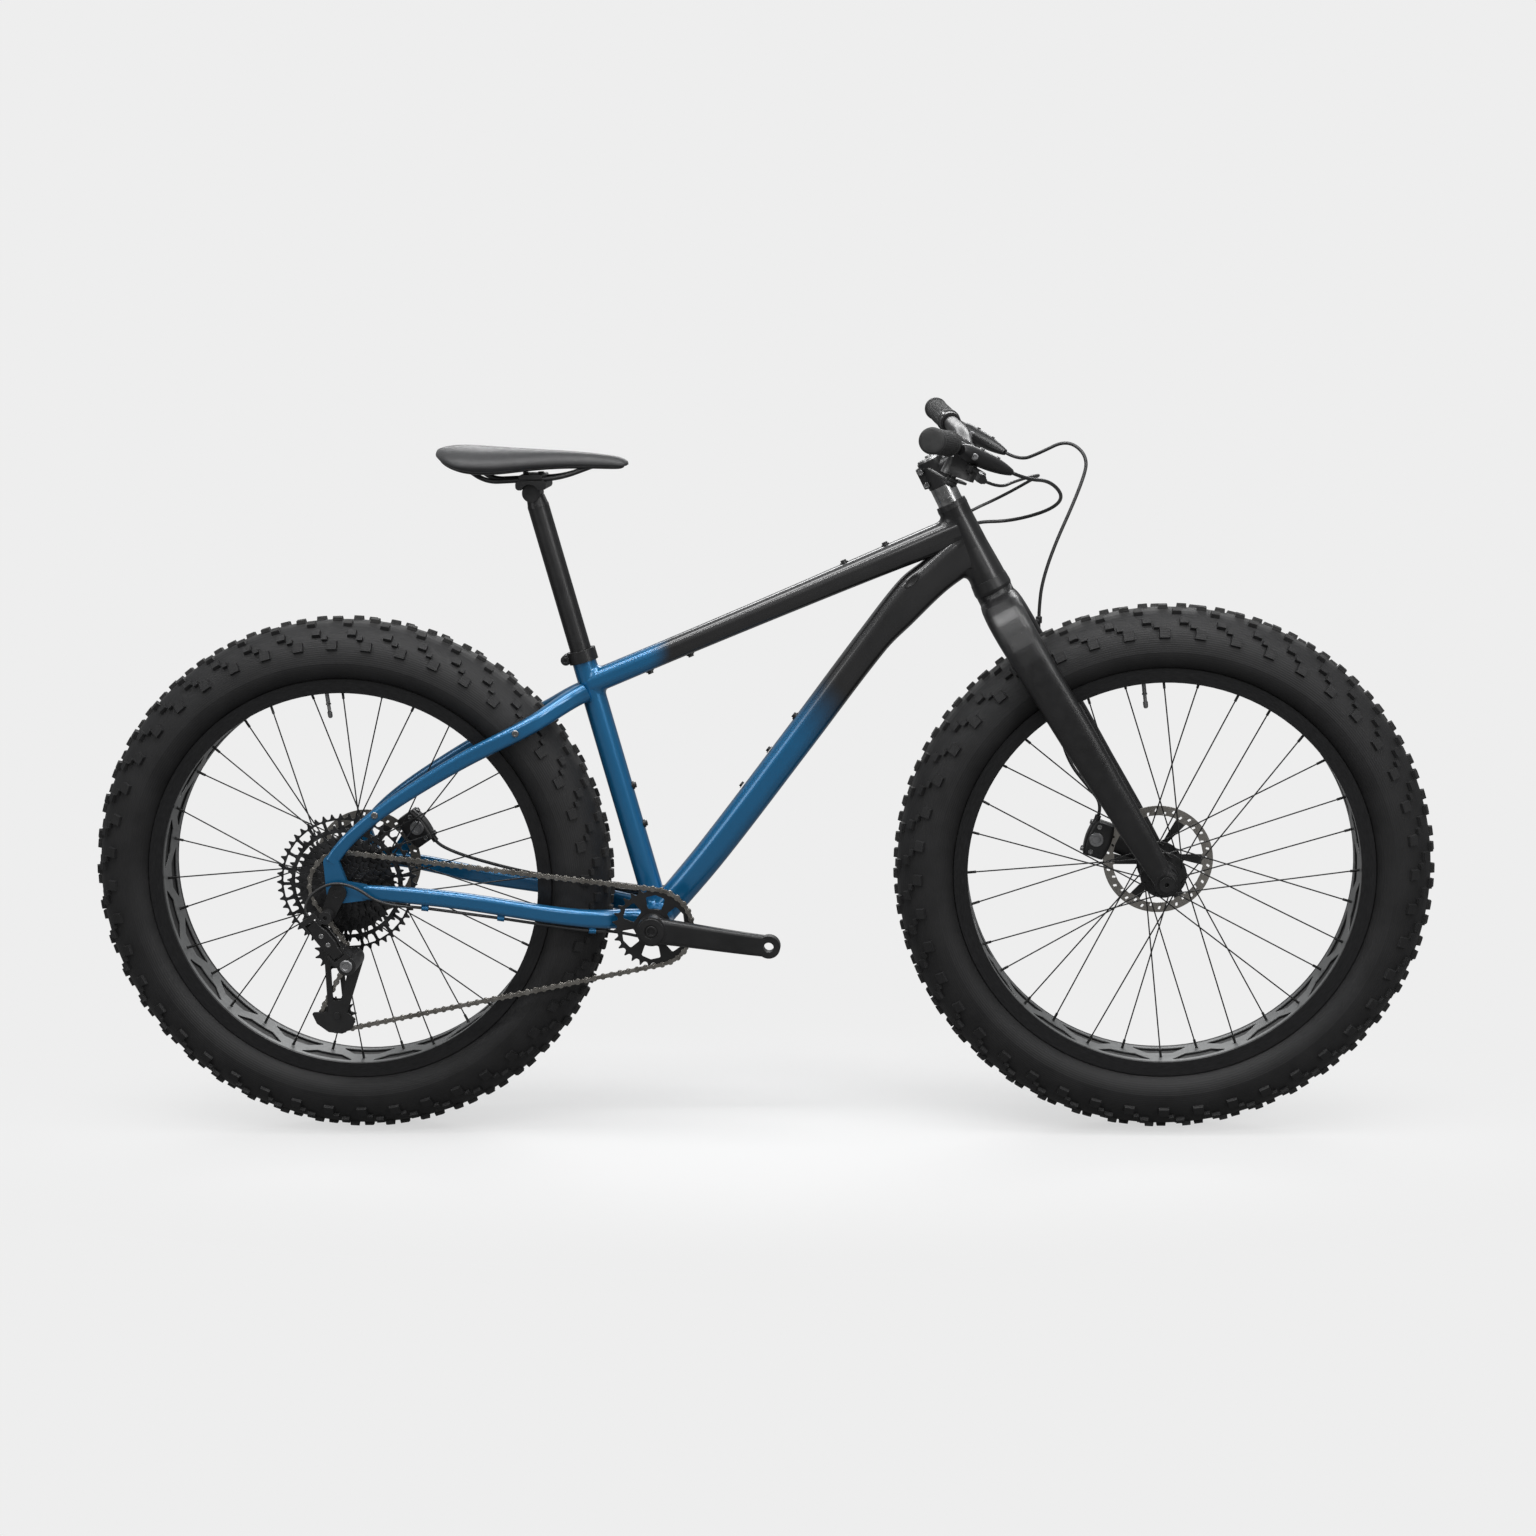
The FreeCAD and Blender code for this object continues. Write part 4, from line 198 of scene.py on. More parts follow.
class Finish:
    """A Principled material that is built up from procedural nodes."""

    def __init__(self, name, colour, rough, metal=0.0, coat=0.0, coat_rough=0.08, specular=0.5, edge=0.0):
        self.mat = bpy.data.materials.new(name)
        self.mat.use_nodes = True
        self.mat.diffuse_color = (*colour, 1.0)
        self.tree = self.mat.node_tree
        self.bsdf = self.tree.nodes["Principled BSDF"]
        self.set("Base Color", (*colour, 1.0))
        self.set("Roughness", rough)
        self.set("Metallic", metal)
        self.set("Coat Weight", coat)
        self.set("Coat Roughness", coat_rough)
        self.set("Specular IOR Level", specular)
        self.place = self.add("ShaderNodeTexCoord").outputs["Object"]
        self.height = None
        if edge:
            soft = self.add("ShaderNodeBevel", samples=4)
            soft.inputs["Radius"].default_value = edge
            self.height = soft.outputs[0]

    def set(self, socket, value):
        self.bsdf.inputs[socket].default_value = value

    def add(self, kind, values=None, feeds=None, **options):
        return add_node(self.tree, kind, values, feeds, **options)

    def link(self, source, target):
        self.tree.links.new(source, target)

    def feed(self, socket, value):
        """Give a socket a number, a colour or another socket's value."""
        if isinstance(value, tuple):
            socket.default_value = (*value, 1.0)
        elif isinstance(value, (int, float)):
            socket.default_value = value
        else:
            self.link(value, socket)

    def math(self, operation, a, b=None):
        node = self.add("ShaderNodeMath", operation=operation)
        for socket, value in zip(node.inputs, (a, b)):
            if value is not None:
                self.feed(socket, value)
        return node.outputs[0]

    def shifted(self, centre):
        return self.add("ShaderNodeVectorMath", {1: centre}, {0: self.place}, operation="SUBTRACT").outputs[0]

    def split(self, source=None):
        return self.add("ShaderNodeSeparateXYZ", None, {0: source or self.place}).outputs

    def joined(self, x, y, z):
        node = self.add("ShaderNodeCombineXYZ")
        for socket, value in zip(node.inputs, (x, y, z)):
            self.feed(socket, value)
        return node.outputs[0]

    def noise(self, scale, detail=4.0, source=None):
        values = {"Scale": scale, "Detail": detail, "Roughness": 0.55}
        return self.add("ShaderNodeTexNoise", values, {"Vector": source or self.place}).outputs[0]

    def cells(self, scale):
        return self.add("ShaderNodeTexVoronoi", {"Scale": scale}, {"Vector": self.place}).outputs["Distance"]

    def spread(self, source, low, high, to_low=0.0, to_high=1.0, smooth=False):
        node = self.add("ShaderNodeMapRange", ramp(low, high, to_low, to_high), {"Value": source})
        if smooth:
            node.interpolation_type = "SMOOTHSTEP"
        return node.outputs[0]

    def blend(self, factor, first, second):
        """Colour from first to second; each is a colour or a socket."""
        node = self.add("ShaderNodeMix", None, None, data_type="RGBA")
        self.link(factor, node.inputs[0])
        for socket, value in zip(node.inputs[6:8], (first, second)):
            self.feed(socket, value)
        return node.outputs[2]

    def colour(self, source):
        self.link(source, self.bsdf.inputs["Base Color"])

    def rough(self, source):
        self.link(source, self.bsdf.inputs["Roughness"])

    def metal(self, source):
        self.link(source, self.bsdf.inputs["Metallic"])

    def bump(self, source, distance, strength=1.0):
        node = self.add("ShaderNodeBump")
        node.inputs["Distance"].default_value = distance
        node.inputs["Strength"].default_value = strength
        self.link(source, node.inputs["Height"])
        if self.height is not None:
            self.link(self.height, node.inputs["Normal"])
        self.height = node.outputs[0]
        self.link(self.height, self.bsdf.inputs["Normal"])

    def polar(self, centre):
        """Radius, angle and side of a point round a wheel's axle."""
        x, y, z = self.split(self.shifted(centre))
        radius = self.math("SQRT", self.math("ADD", self.math("MULTIPLY", x, x), self.math("MULTIPLY", z, z)))
        return radius, self.math("ARCTAN2", z, x), y


BLUE_DEEP = (0.0058, 0.100, 0.230)
BLUE_LIT = (0.0076, 0.117, 0.264)
BLUE_FLAKE = (0.0082, 0.123, 0.275)
BLACK_PAINT = (0.0050, 0.0049, 0.0052)
BLUE_METAL = 0.45


def paint(name, start=None, end=None):
    """Frame paint: metallic blue before start, satin black after end, along a line; None is all one."""
    f = Finish(name, BLUE_LIT, 0.30, 0.0, 0.65, 0.06)
    flake = f.spread(f.noise(1500.0, 1.0), 0.35, 0.65)
    drift = f.spread(f.noise(7.0, 3.0), 0.3, 0.7)
    blue = f.blend(flake, f.blend(drift, BLUE_DEEP, BLUE_LIT), BLUE_FLAKE)
    grime = f.spread(f.noise(24.0, 2.0), 0.3, 0.7)
    black = f.blend(grime, BLACK_PAINT, (0.0075, 0.0073, 0.0077))
    peel = f.noise(120.0, 1.0)
    if start is None:
        f.colour(blue if end is None else black)
        low = 0.28 if end is None else 0.32
        f.rough(f.spread(grime, 0.0, 1.0, low, low + 0.03))
        if end is None:
            f.set("Metallic", BLUE_METAL)
        else:
            f.set("Coat Weight", 0.20)
            f.set("Coat Roughness", 0.16)
            f.set("Specular IOR Level", 0.42)
    else:
        way = Vector(end) - Vector(start)
        along = f.add("ShaderNodeVectorMath", operation="DOT_PRODUCT")
        f.link(f.shifted(start), along.inputs[0])
        along.inputs[1].default_value = way / way.length_squared
        factor = f.spread(along.outputs["Value"], 0.0, 1.0, smooth=True)
        f.colour(f.blend(factor, blue, black))
        f.rough(f.math("ADD", f.spread(factor, 0.0, 1.0, 0.28, 0.32), f.spread(grime, 0.0, 1.0, 0.0, 0.03)))
        f.metal(f.spread(factor, 0.0, 1.0, BLUE_METAL, 0.0))
    f.bump(peel, 0.00001, 0.30)
    return f.mat


def satin(name, dark, light, rough, metal=0.0, coat=0.0, grain=300.0, depth=0.00006, specular=0.5, edge=0.0):
    """Mottled satin surface with a fine grain and eased edges."""
    f = Finish(name, light, rough, metal, coat, 0.2, specular, edge)
    wide = f.spread(f.noise(22.0, 5.0), 0.3, 0.7)
    f.colour(f.blend(wide, dark, light))
    f.rough(f.spread(f.noise(75.0, 4.0), 0.3, 0.7, rough - 0.06, rough + 0.07))
    f.bump(f.noise(grain, 3.0), depth, 0.6)
    return f.mat


def rubber(name, centre):
    """Tyre: moulded sidewalls with fine casing threads and mould rings, scuffed knobs."""
    f = Finish(name, (0.016, 0.016, 0.017), 0.72, specular=0.30)
    radius, angle, _ = f.polar(centre)
    worn = f.spread(radius, 0.374, 0.384, smooth=True)
    patchy = f.spread(f.noise(30.0, 6.0), 0.3, 0.72)
    wall = f.blend(patchy, (0.0085, 0.0084, 0.0087), (0.0150, 0.0148, 0.0152))
    tread = f.blend(patchy, (0.018, 0.0178, 0.0178), (0.034, 0.0332, 0.0325))
    f.colour(f.blend(worn, wall, tread))
    f.rough(f.math("ADD", f.spread(patchy, 0.0, 1.0, 0.56, 0.68), f.spread(worn, 0.0, 1.0, 0.0, 0.12)))
    lean = f.math("ADD", f.math("MULTIPLY", angle, 900.0), f.math("MULTIPLY", radius, 2600.0))
    thread = f.math("SINE", lean)
    mould = f.math("SINE", f.math("MULTIPLY", radius, 2100.0))
    on_wall = f.spread(radius, 0.302, 0.306)
    f.bump(f.math("MULTIPLY", thread, on_wall), 0.00010, 0.30)
    f.bump(f.math("MULTIPLY", mould, on_wall), 0.00016, 0.35)
    f.bump(f.noise(900.0, 3.0), 0.00012, 0.5)
    return f.mat


def guide_finish():
    """Dark bolts on the tubes, and cable guides under the chainstay in the frame's blue."""
    f = Finish("bolts_and_guides", (0.02, 0.02, 0.02), 0.34, 0.3, edge=0.0006)
    x, _, z = f.split()
    guide = f.math("MULTIPLY", f.spread(x, -0.205, -0.215), f.spread(z, 0.368, 0.360))
    wide = f.spread(f.noise(120.0, 4.0), 0.3, 0.7)
    dark = f.blend(wide, (0.014, 0.014, 0.014), (0.030, 0.030, 0.030))
    blue = f.blend(wide, BLUE_DEEP, BLUE_FLAKE)
    f.colour(f.blend(guide, dark, blue))
    f.rough(f.spread(wide, 0.0, 1.0, 0.28, 0.40))
    f.bump(f.noise(900.0, 3.0), 0.00004, 0.5)
    return f.mat


def rim_finish(name, centre):
    """Dark anodised sides with a machined grey bed between the cut-outs."""
    f = Finish(name, (0.05, 0.05, 0.05), 0.4, 0.6)
    radius, angle, side = f.polar(centre)
    inner = f.spread(f.math("ABSOLUTE", side), 0.0345, 0.0338)
    bed = f.math("MULTIPLY", f.spread(radius, 0.2800, 0.2793), inner)
    brushed = f.noise(1.0, 3.0, f.joined(f.math("MULTIPLY", angle, 30.0), f.math("MULTIPLY", radius, 900.0),
                                         f.math("MULTIPLY", side, 2200.0)))
    turned = f.spread(brushed, 0.3, 0.7)
    dark = f.blend(turned, (0.012, 0.012, 0.0125), (0.022, 0.022, 0.023))
    pale = f.blend(turned, (0.135, 0.138, 0.138), (0.225, 0.228, 0.228))
    f.colour(f.blend(bed, dark, pale))
    f.rough(f.math("ADD", f.spread(turned, 0.0, 1.0, 0.34, 0.44), f.spread(bed, 0.0, 1.0, 0.0, 0.05)))
    f.bump(brushed, 0.00003, 0.5)
    return f.mat


def rotor_finish(name, centre):
    """Ground braking band on a black carrier."""
    f = Finish(name, (0.4, 0.39, 0.37), 0.3, 0.9)
    radius, angle, _ = f.polar(centre)
    band = f.spread(radius, 0.0632, 0.0638)
    around, across = f.math("MULTIPLY", angle, 9.0), f.math("MULTIPLY", radius, 3800.0)
    ground = f.noise(1.0, 4.0, f.joined(around, across, 0.0))
    lines = f.spread(ground, 0.3, 0.7)
    steel = f.blend(lines, (0.24, 0.225, 0.20), (0.46, 0.44, 0.41))
    carrier = f.blend(f.spread(f.noise(60.0, 4.0), 0.3, 0.7), (0.010, 0.010, 0.010), (0.020, 0.020, 0.020))
    f.colour(f.blend(band, carrier, steel))
    f.metal(f.spread(band, 0.0, 1.0, 0.1, 0.95))
    f.rough(f.spread(lines, 0.0, 1.0, 0.26, 0.40))
    f.bump(ground, 0.00002, 0.6)
    return f.mat


def steel(name, dark, light, rough, metal=0.9, edge=0.0):
    """Plated steel with drawn streaks and oily patches."""
    f = Finish(name, light, rough, metal, edge=edge)
    oily = f.spread(f.noise(55.0, 5.0), 0.3, 0.7)
    f.colour(f.blend(oily, dark, light))
    f.rough(f.spread(f.noise(160.0, 3.0), 0.3, 0.7, rough - 0.08, rough + 0.10))
    f.bump(f.noise(1400.0, 2.0), 0.00003, 0.5)
    return f.mat


def cover_finish():
    """Saddle vinyl with a pebbled leather grain."""
    f = Finish("saddle_vinyl", (0.014, 0.014, 0.015), 0.5, specular=0.45)
    f.set("Sheen Weight", 0.08)
    wide = f.spread(f.noise(16.0, 4.0), 0.3, 0.7)
    f.colour(f.blend(wide, (0.010, 0.010, 0.011), (0.0185, 0.0185, 0.0195)))
    f.rough(f.spread(f.noise(90.0, 4.0), 0.3, 0.7, 0.42, 0.56))
    f.bump(f.cells(900.0), 0.00022, 0.55)
    f.bump(f.noise(2600.0, 2.0), 0.00006, 0.5)
    return f.mat


def grip_finish():
    f = Finish("grip_compound", (0.016, 0.016, 0.016), 0.7, specular=0.4)
    wide = f.spread(f.noise(60.0, 5.0), 0.3, 0.7)
    f.colour(f.blend(wide, (0.011, 0.011, 0.011), (0.024, 0.024, 0.024)))
    f.rough(f.spread(f.noise(200.0, 3.0), 0.3, 0.7, 0.52, 0.70))
    f.bump(f.noise(1500.0, 3.0), 0.00010, 0.6)
    return f.mat


MATERIALS = {}


def make_materials():
    m = MATERIALS
    m["blue"] = paint("metallic_blue")
    m["black"] = paint("satin_black_paint", None, True)
    m["top"] = paint("top_tube_fade", (-0.146, 0.0, 0.69), (-0.106, 0.0, 0.69))
    m["down"] = paint("down_tube_fade", (0.050, 0.0, 0.583), (0.136, 0.0, 0.667))
    m["fork"] = satin("carbon_black_paint", (0.0055, 0.0054, 0.0057), (0.0090, 0.0088, 0.0092), 0.33,
                      0.0, 0.20, 420.0, 0.000012, 0.42, edge=0.015)
    m["anodised"] = satin("anodised_black", (0.0080, 0.0080, 0.0083), (0.0150, 0.0148, 0.0154), 0.37, 0.2,
                          grain=900.0, depth=0.00003, edge=0.0009)
    m["plastic"] = satin("black_plastic", (0.0080, 0.0079, 0.0082), (0.0135, 0.0133, 0.0137), 0.40,
                         grain=700.0, depth=0.0001, edge=0.0008)
    m["strip"] = satin("rim_strip_black", (0.010, 0.010, 0.010), (0.017, 0.017, 0.017), 0.62, grain=500.0)
    m["spoke"] = satin("black_spoke", (0.012, 0.012, 0.012), (0.021, 0.021, 0.021), 0.32, 0.4,
                       grain=1200.0, depth=0.00002)
    m["hose"] = satin("hose_black", (0.011, 0.011, 0.0115), (0.018, 0.018, 0.0185), 0.40,
                      grain=1100.0, depth=0.00003)
    m["front_tyre"] = rubber("front_tyre_rubber", FRONT)
    m["rear_tyre"] = rubber("rear_tyre_rubber", REAR)
    m["front_rim"] = rim_finish("front_rim_alloy", FRONT)
    m["rear_rim"] = rim_finish("rear_rim_alloy", REAR)
    m["front_rotor"] = rotor_finish("front_rotor_steel", FRONT)
    m["rear_rotor"] = rotor_finish("rear_rotor_steel", REAR)
    m["chain"] = steel("chain_steel", (0.15, 0.14, 0.125), (0.36, 0.345, 0.32), 0.27, 0.95, 0.0005)
    m["cog"] = steel("cog_steel", (0.022, 0.022, 0.023), (0.062, 0.062, 0.064), 0.32, 0.8, 0.0005)
    m["bolt"] = steel("bolt_steel", (0.16, 0.16, 0.16), (0.38, 0.38, 0.38), 0.28, 0.95, 0.0004)
    m["grey"] = steel("grey_alloy", (0.16, 0.16, 0.165), (0.30, 0.30, 0.305), 0.38, 0.8)
    m["guide"] = guide_finish()
    m["cover"] = cover_finish()
    m["grip"] = grip_finish()


NODE_FINISH = {
    "blue": ["bottom_bracket_shell", "seat_tube", "chainstays", "seatstays"],
    "guide": ["frame_bolts"],
    "black": ["head_tube"],
    "top": ["top_tube"],
    "down": ["down_tube"],
    "fork": ["fork"],
    "anodised": ["front_hub", "rear_hub", "stem", "stem_faceplate", "handlebar", "seatpost", "seat_clamp",
                 "saddle_clamp", "bearing_cups", "front_axle", "rear_axle", "crank_left", "crank_right",
                 "chainring", "brake_masters", "brake_lever_left", "brake_lever_right", "front_caliper",
                 "rear_caliper", "derailleur_hanger", "derailleur_outer_link", "derailleur_inner_link",
                 "saddle_rails"],
    "plastic": ["derailleur_b_knuckle", "derailleur_p_knuckle", "derailleur_cage", "pulley_upper",
                "pulley_lower", "shifter_body", "shift_paddle", "release_lever"],
    "strip": ["front_rim_strip", "rear_rim_strip"],
    "spoke": ["front_spokes", "rear_spokes"],
    "hose": ["front_brake_hose", "rear_brake_hose", "rear_hose_loop", "shift_cable_loop",
             "rear_shift_housing"],
    "front_tyre": ["front_tyre"],
    "rear_tyre": ["rear_tyre"],
    "front_rim": ["front_rim"],
    "rear_rim": ["rear_rim"],
    "front_rotor": ["front_rotor"],
    "rear_rotor": ["rear_rotor"],
    "chain": ["chain"],
    "cog": ["cassette"],
    "bolt": ["stem_hardware"],
    "cover": ["saddle"],
    "grip": ["grips"],
}


def dress_nodes():
    left = set(nodes)
    for key, names in NODE_FINISH.items():
        for name in names:
            mesh = nodes[name].data
            mesh.materials.clear()
            mesh.materials.append(MATERIALS[key])
            left.discard(name)
    if left:
        raise ValueError("no finish for " + ", ".join(sorted(left)))


FLAT_SIDED = ("chainstays", "seatstays", "fork", "crank_left", "crank_right", "stem", "stem_faceplate",
              "brake_masters", "brake_lever_left", "brake_lever_right", "shifter_body", "shift_paddle",
              "release_lever", "derailleur_p_knuckle", "derailleur_b_knuckle", "derailleur_outer_link",
              "derailleur_inner_link", "derailleur_cage", "front_caliper", "rear_caliper", "saddle_clamp",
              "seat_clamp")


def even_shading():
    """Flat sides shade as flat: the large faces set the normals where they run into small rounded ones."""
    for name in FLAT_SIDED:
        even = nodes[name].modifiers.new("even_normals", "WEIGHTED_NORMAL")
        even.mode = "FACE_AREA"
        even.weight = 60
        even.keep_sharp = True


# Mesh helpers

def new_mesh(name, verts, faces, material, smooth=True):
    mesh = bpy.data.meshes.new(name)
    mesh.from_pydata([tuple(v) for v in verts], [], faces)
    shape = bmesh.new()
    shape.from_mesh(mesh)
    bmesh.ops.recalc_face_normals(shape, faces=shape.faces)
    shape.to_mesh(mesh)
    shape.free()
    mesh.update()
    for polygon in mesh.polygons:
        polygon.use_smooth = smooth
    obj = bpy.data.objects.new(name, mesh)
    bpy.context.scene.collection.objects.link(obj)
    mesh.materials.append(material)
    return obj


def ring_loft(rings, closed_ends=True):
    """Vertices and faces of a skin over equal rings of points."""
    count = len(rings[0])
    verts = [p for ring in rings for p in ring]
    faces = []
    for i in range(len(rings) - 1):
        for j in range(count):
            k = (j + 1) % count
            faces.append((i * count + j, i * count + k, (i + 1) * count + k, (i + 1) * count + j))
    if closed_ends:
        faces.append(tuple(range(count))[::-1])
        last = (len(rings) - 1) * count
        faces.append(tuple(range(last, last + count)))
    return verts, faces


def frame_across(axis):
    axis = axis.normalized()
    side = axis.cross(Z)
    if side.length < 0.1:
        side = axis.cross(X)
    side.normalize()
    return side, axis.cross(side)


def circle(centre, side, other, radius, count):
    """Evenly spaced points round a centre."""
    turns = [2 * math.pi * k / count for k in range(count)]
    return [centre + side * (radius * math.cos(t)) + other * (radius * math.sin(t)) for t in turns]


def lathe(profile, base, axis, count=48):
    """Rings of a body turned round an axis: profile is a list of (distance along, radius)."""
    axis = axis.normalized()
    side, other = frame_across(axis)
    rings = []
    for along, radius in profile:
        rings.append(circle(base + axis * along, side, other, radius, count))
    return ring_loft(rings)


def turned_ring(profile, base, axis, count=48):
    """A body turned round an axis from a closed outline of (distance along, radius)."""
    axis = axis.normalized()
    side, other = frame_across(axis)
    verts = []
    for along, radius in profile:
        verts += circle(base + axis * along, side, other, radius, count)
    faces = []
    rows = len(profile)
    for i in range(rows):
        for j in range(count):
            a, b = i * count, ((i + 1) % rows) * count
            k = (j + 1) % count
            faces.append((a + j, a + k, b + k, b + j))
    return verts, faces


def cap_screw(at, out, radius, height):
    """Socket head of a screw standing on a face."""
    outline = [(0.0, radius), (0.78 * height, radius), (height, 0.86 * radius), (height, 0.52 * radius),
               (0.45 * height, 0.48 * radius), (0.45 * height, 0.02 * radius)]
    return lathe(outline, at, out, 24)


def surface(node):
    return BVHTree.FromObject(nodes[node], bpy.context.evaluated_depsgraph_get())


def face_of(node, origin, way):
    """Where a ray first meets a node's surface."""
    hit = surface(node).ray_cast(Vector(origin), Vector(way).normalized())[0]
    if hit is None:
        raise ValueError("no face of " + node + " there")
    return hit


def group(name, shapes, key, body):
    """One piece made of several small shapes that ride together."""
    verts, faces = [], []
    for shape in shapes:
        add_shape((verts, faces), shape)
    obj = new_mesh(name, verts, faces, MATERIALS[key])
    sharp = obj.modifiers.new("edges", "EDGE_SPLIT")
    sharp.split_angle = math.radians(34)
    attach(obj, body)
    return obj


def add_shape(store, shape):
    verts, faces = store
    more, more_faces = shape
    start = len(verts)
    verts.extend(more)
    faces.extend(tuple(i + start for i in face) for face in more_faces)


def mirror_shape(shape):
    verts, faces = shape
    return [Vector((v[0], -v[1], v[2])) for v in verts], [tuple(reversed(face)) for face in faces]


# Cords

def nurbs_line(points):
    """Points along the smooth line of a route, read from its spline."""
    data = bpy.data.curves.new("route", "CURVE")
    data.dimensions = "3D"
    data.resolution_u = 14
    spline = data.splines.new("NURBS")
    spline.points.add(len(points) - 1)
    for target, point in zip(spline.points, points):
        target.co = (*point, 1.0)
    spline.order_u = 3
    spline.use_endpoint_u = True
    holder = bpy.data.objects.new("route", data)
    mesh = bpy.data.meshes.new_from_object(holder)
    line = [v.co.copy() for v in mesh.vertices]
    bpy.data.objects.remove(holder)
    bpy.data.curves.remove(data)
    bpy.data.meshes.remove(mesh)
    return line


def tube(line, radius, count=20):
    """Rings of a tube that follows a line of points."""
    rings = []
    side = None
    for i, point in enumerate(line):
        ahead = (line[min(i + 1, len(line) - 1)] - line[max(i - 1, 0)]).normalized()
        if side is None:
            side = frame_across(ahead)[0]
        side = (side - ahead * side.dot(ahead)).normalized()
        rings.append(circle(point, side, ahead.cross(side), radius, count))
    return ring_loft(rings)


# Name, node, radius, body, the body that moves its far end, and the route
CORDS = (
    ("front_hose", "front_brake_hose", 0.0025, "steering", None, [
        (0.3735, 0.186, 0.9743), (0.3947, 0.168, 0.9631), (0.4232, 0.153, 0.9750), (0.4619, 0.150, 0.9935),
        (0.4898, 0.135, 0.9735), (0.4880, 0.123, 0.9420), (0.4257, 0.098, 0.8095), (0.4174, 0.095, 0.7362),
        (0.4221, 0.101, 0.6707), (0.4459, 0.101, 0.5883), (0.4589, 0.079, 0.5315), (0.4900, 0.066, 0.4930),
        (0.5085, 0.061, 0.4700), (0.5036, 0.061, 0.4526)]),
    ("rear_hose_front_run", "rear_hose_loop", 0.0025, "frame", "steering", [
        (0.3737, -0.1858, 0.9742), (0.3949, -0.1678, 0.963), (0.4277, -0.1098, 0.9562),
        (0.4497, -0.0498, 0.9282),
        (0.4317, 0.0002, 0.9052), (0.3777, 0.0502, 0.8862), (0.3292, 0.0344, 0.8878),
        (0.322, 0.0205, 0.8844)]),
    ("shift_cable_front_run", "shift_cable_loop", 0.0022, "frame", "steering", [
        (0.3391, -0.1839, 0.9629), (0.3586, -0.1721, 0.9526), (0.3811, -0.1199, 0.9579),
        (0.4161, -0.0599, 0.9609),
        (0.4121, 0.0001, 0.9519), (0.3671, 0.0461, 0.9229), (0.3211, 0.0337, 0.9039),
        (0.3139, 0.0198, 0.9005)]),
    ("rear_hose_stay_run", "rear_brake_hose", 0.0025, "frame", None, [
        (-0.4853, 0.0845, 0.4168), (-0.4764, 0.0845, 0.4035), (-0.361, 0.077, 0.3707),
        (-0.2667, 0.0745, 0.3555),
        (-0.2308, 0.065, 0.3499), (-0.1927, 0.046, 0.3465), (-0.147, 0.034, 0.3481)]),
    ("shift_housing_stay_run", "rear_shift_housing", 0.0022, "frame", None, [
        (-0.147, -0.04, 0.2956), (-0.1949, -0.047, 0.3099), (-0.2235, -0.0622, 0.3147),
        (-0.2382, -0.0678, 0.3173),
        (-0.2667, -0.0745, 0.3226), (-0.3532, -0.0765, 0.337), (-0.3689, -0.0775, 0.3396),
        (-0.4609, -0.087, 0.3557),
        (-0.4766, -0.089, 0.3582), (-0.528, -0.1147, 0.37), (-0.5625, -0.116, 0.397),
        (-0.5976, -0.1145, 0.403),
        (-0.6280, -0.1185, 0.3860), (-0.6375, -0.1225, 0.3640), (-0.6314, -0.123, 0.3542)]),
)


def run_cords():
    lines = {}
    for name, node, radius, body, other, route in CORDS:
        line = nurbs_line(route)
        lines[name] = line
        verts, faces = tube(line, radius)
        obj = new_mesh(name, verts, faces, MATERIALS["hose"])
        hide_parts(node)
        if other:
            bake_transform(obj)
        else:
            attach(obj, body)
    return lines


# Saddle and grips

# Saddle stations: place along it, half width, top, edge and underside heights
SADDLE = (
    (-0.1330, 0.0240, 0.0560, 0.0515, 0.0460),
    (-0.1295, 0.0380, 0.0585, 0.0500, 0.0435),
    (-0.1150, 0.0600, 0.0610, 0.0430, 0.0330),
    (-0.0980, 0.0690, 0.0610, 0.0390, 0.0265),
    (-0.0800, 0.0720, 0.0600, 0.0370, 0.0220),
    (-0.0450, 0.0660, 0.0570, 0.0360, 0.0200),
    (-0.0050, 0.0460, 0.0540, 0.0370, 0.0240),
    (0.0400, 0.0290, 0.0510, 0.0370, 0.0260),
    (0.0850, 0.0220, 0.0470, 0.0350, 0.0250),
    (0.1200, 0.0190, 0.0420, 0.0320, 0.0230),
    (0.1330, 0.0145, 0.0375, 0.0300, 0.0235),
    (0.1385, 0.0080, 0.0335, 0.0290, 0.0245),
)


def saddle_row(station):
    """One ring of the cover, from the middle of its underside round the right side and back."""
    x, half, top, edge, low = station
    crown = top - edge
    dip = 0.0022 * max(0.0, min(1.0, (half - 0.016) / 0.03))
    right = [(0.0, low + 0.006), (0.45 * half, low + 0.0055), (0.78 * half, low + 0.0045),
             (0.90 * half, low + 0.0040),
             (0.965 * half, low + 0.30 * (edge - low) + 0.002), (1.0 * half, low + 0.72 * (edge - low)),
             (0.985 * half, edge + 0.02 * crown), (0.93 * half, edge + 0.26 * crown),
             (0.80 * half, edge + 0.55 * crown),
             (0.60 * half, edge + 0.82 * crown), (0.38 * half, edge + 0.97 * crown), (0.18 * half, top),
             (0.0, top - dip)]
    left = [(-y, z) for y, z in right[-2:0:-1]]
    return [SADDLE_AT + Vector((x, y, z)) for y, z in right + left]


def subdivided(obj, levels):
    mod = obj.modifiers.new("smooth", "SUBSURF")
    mod.levels = levels
    mod.render_levels = levels
    mod.uv_smooth = "NONE"
    return obj


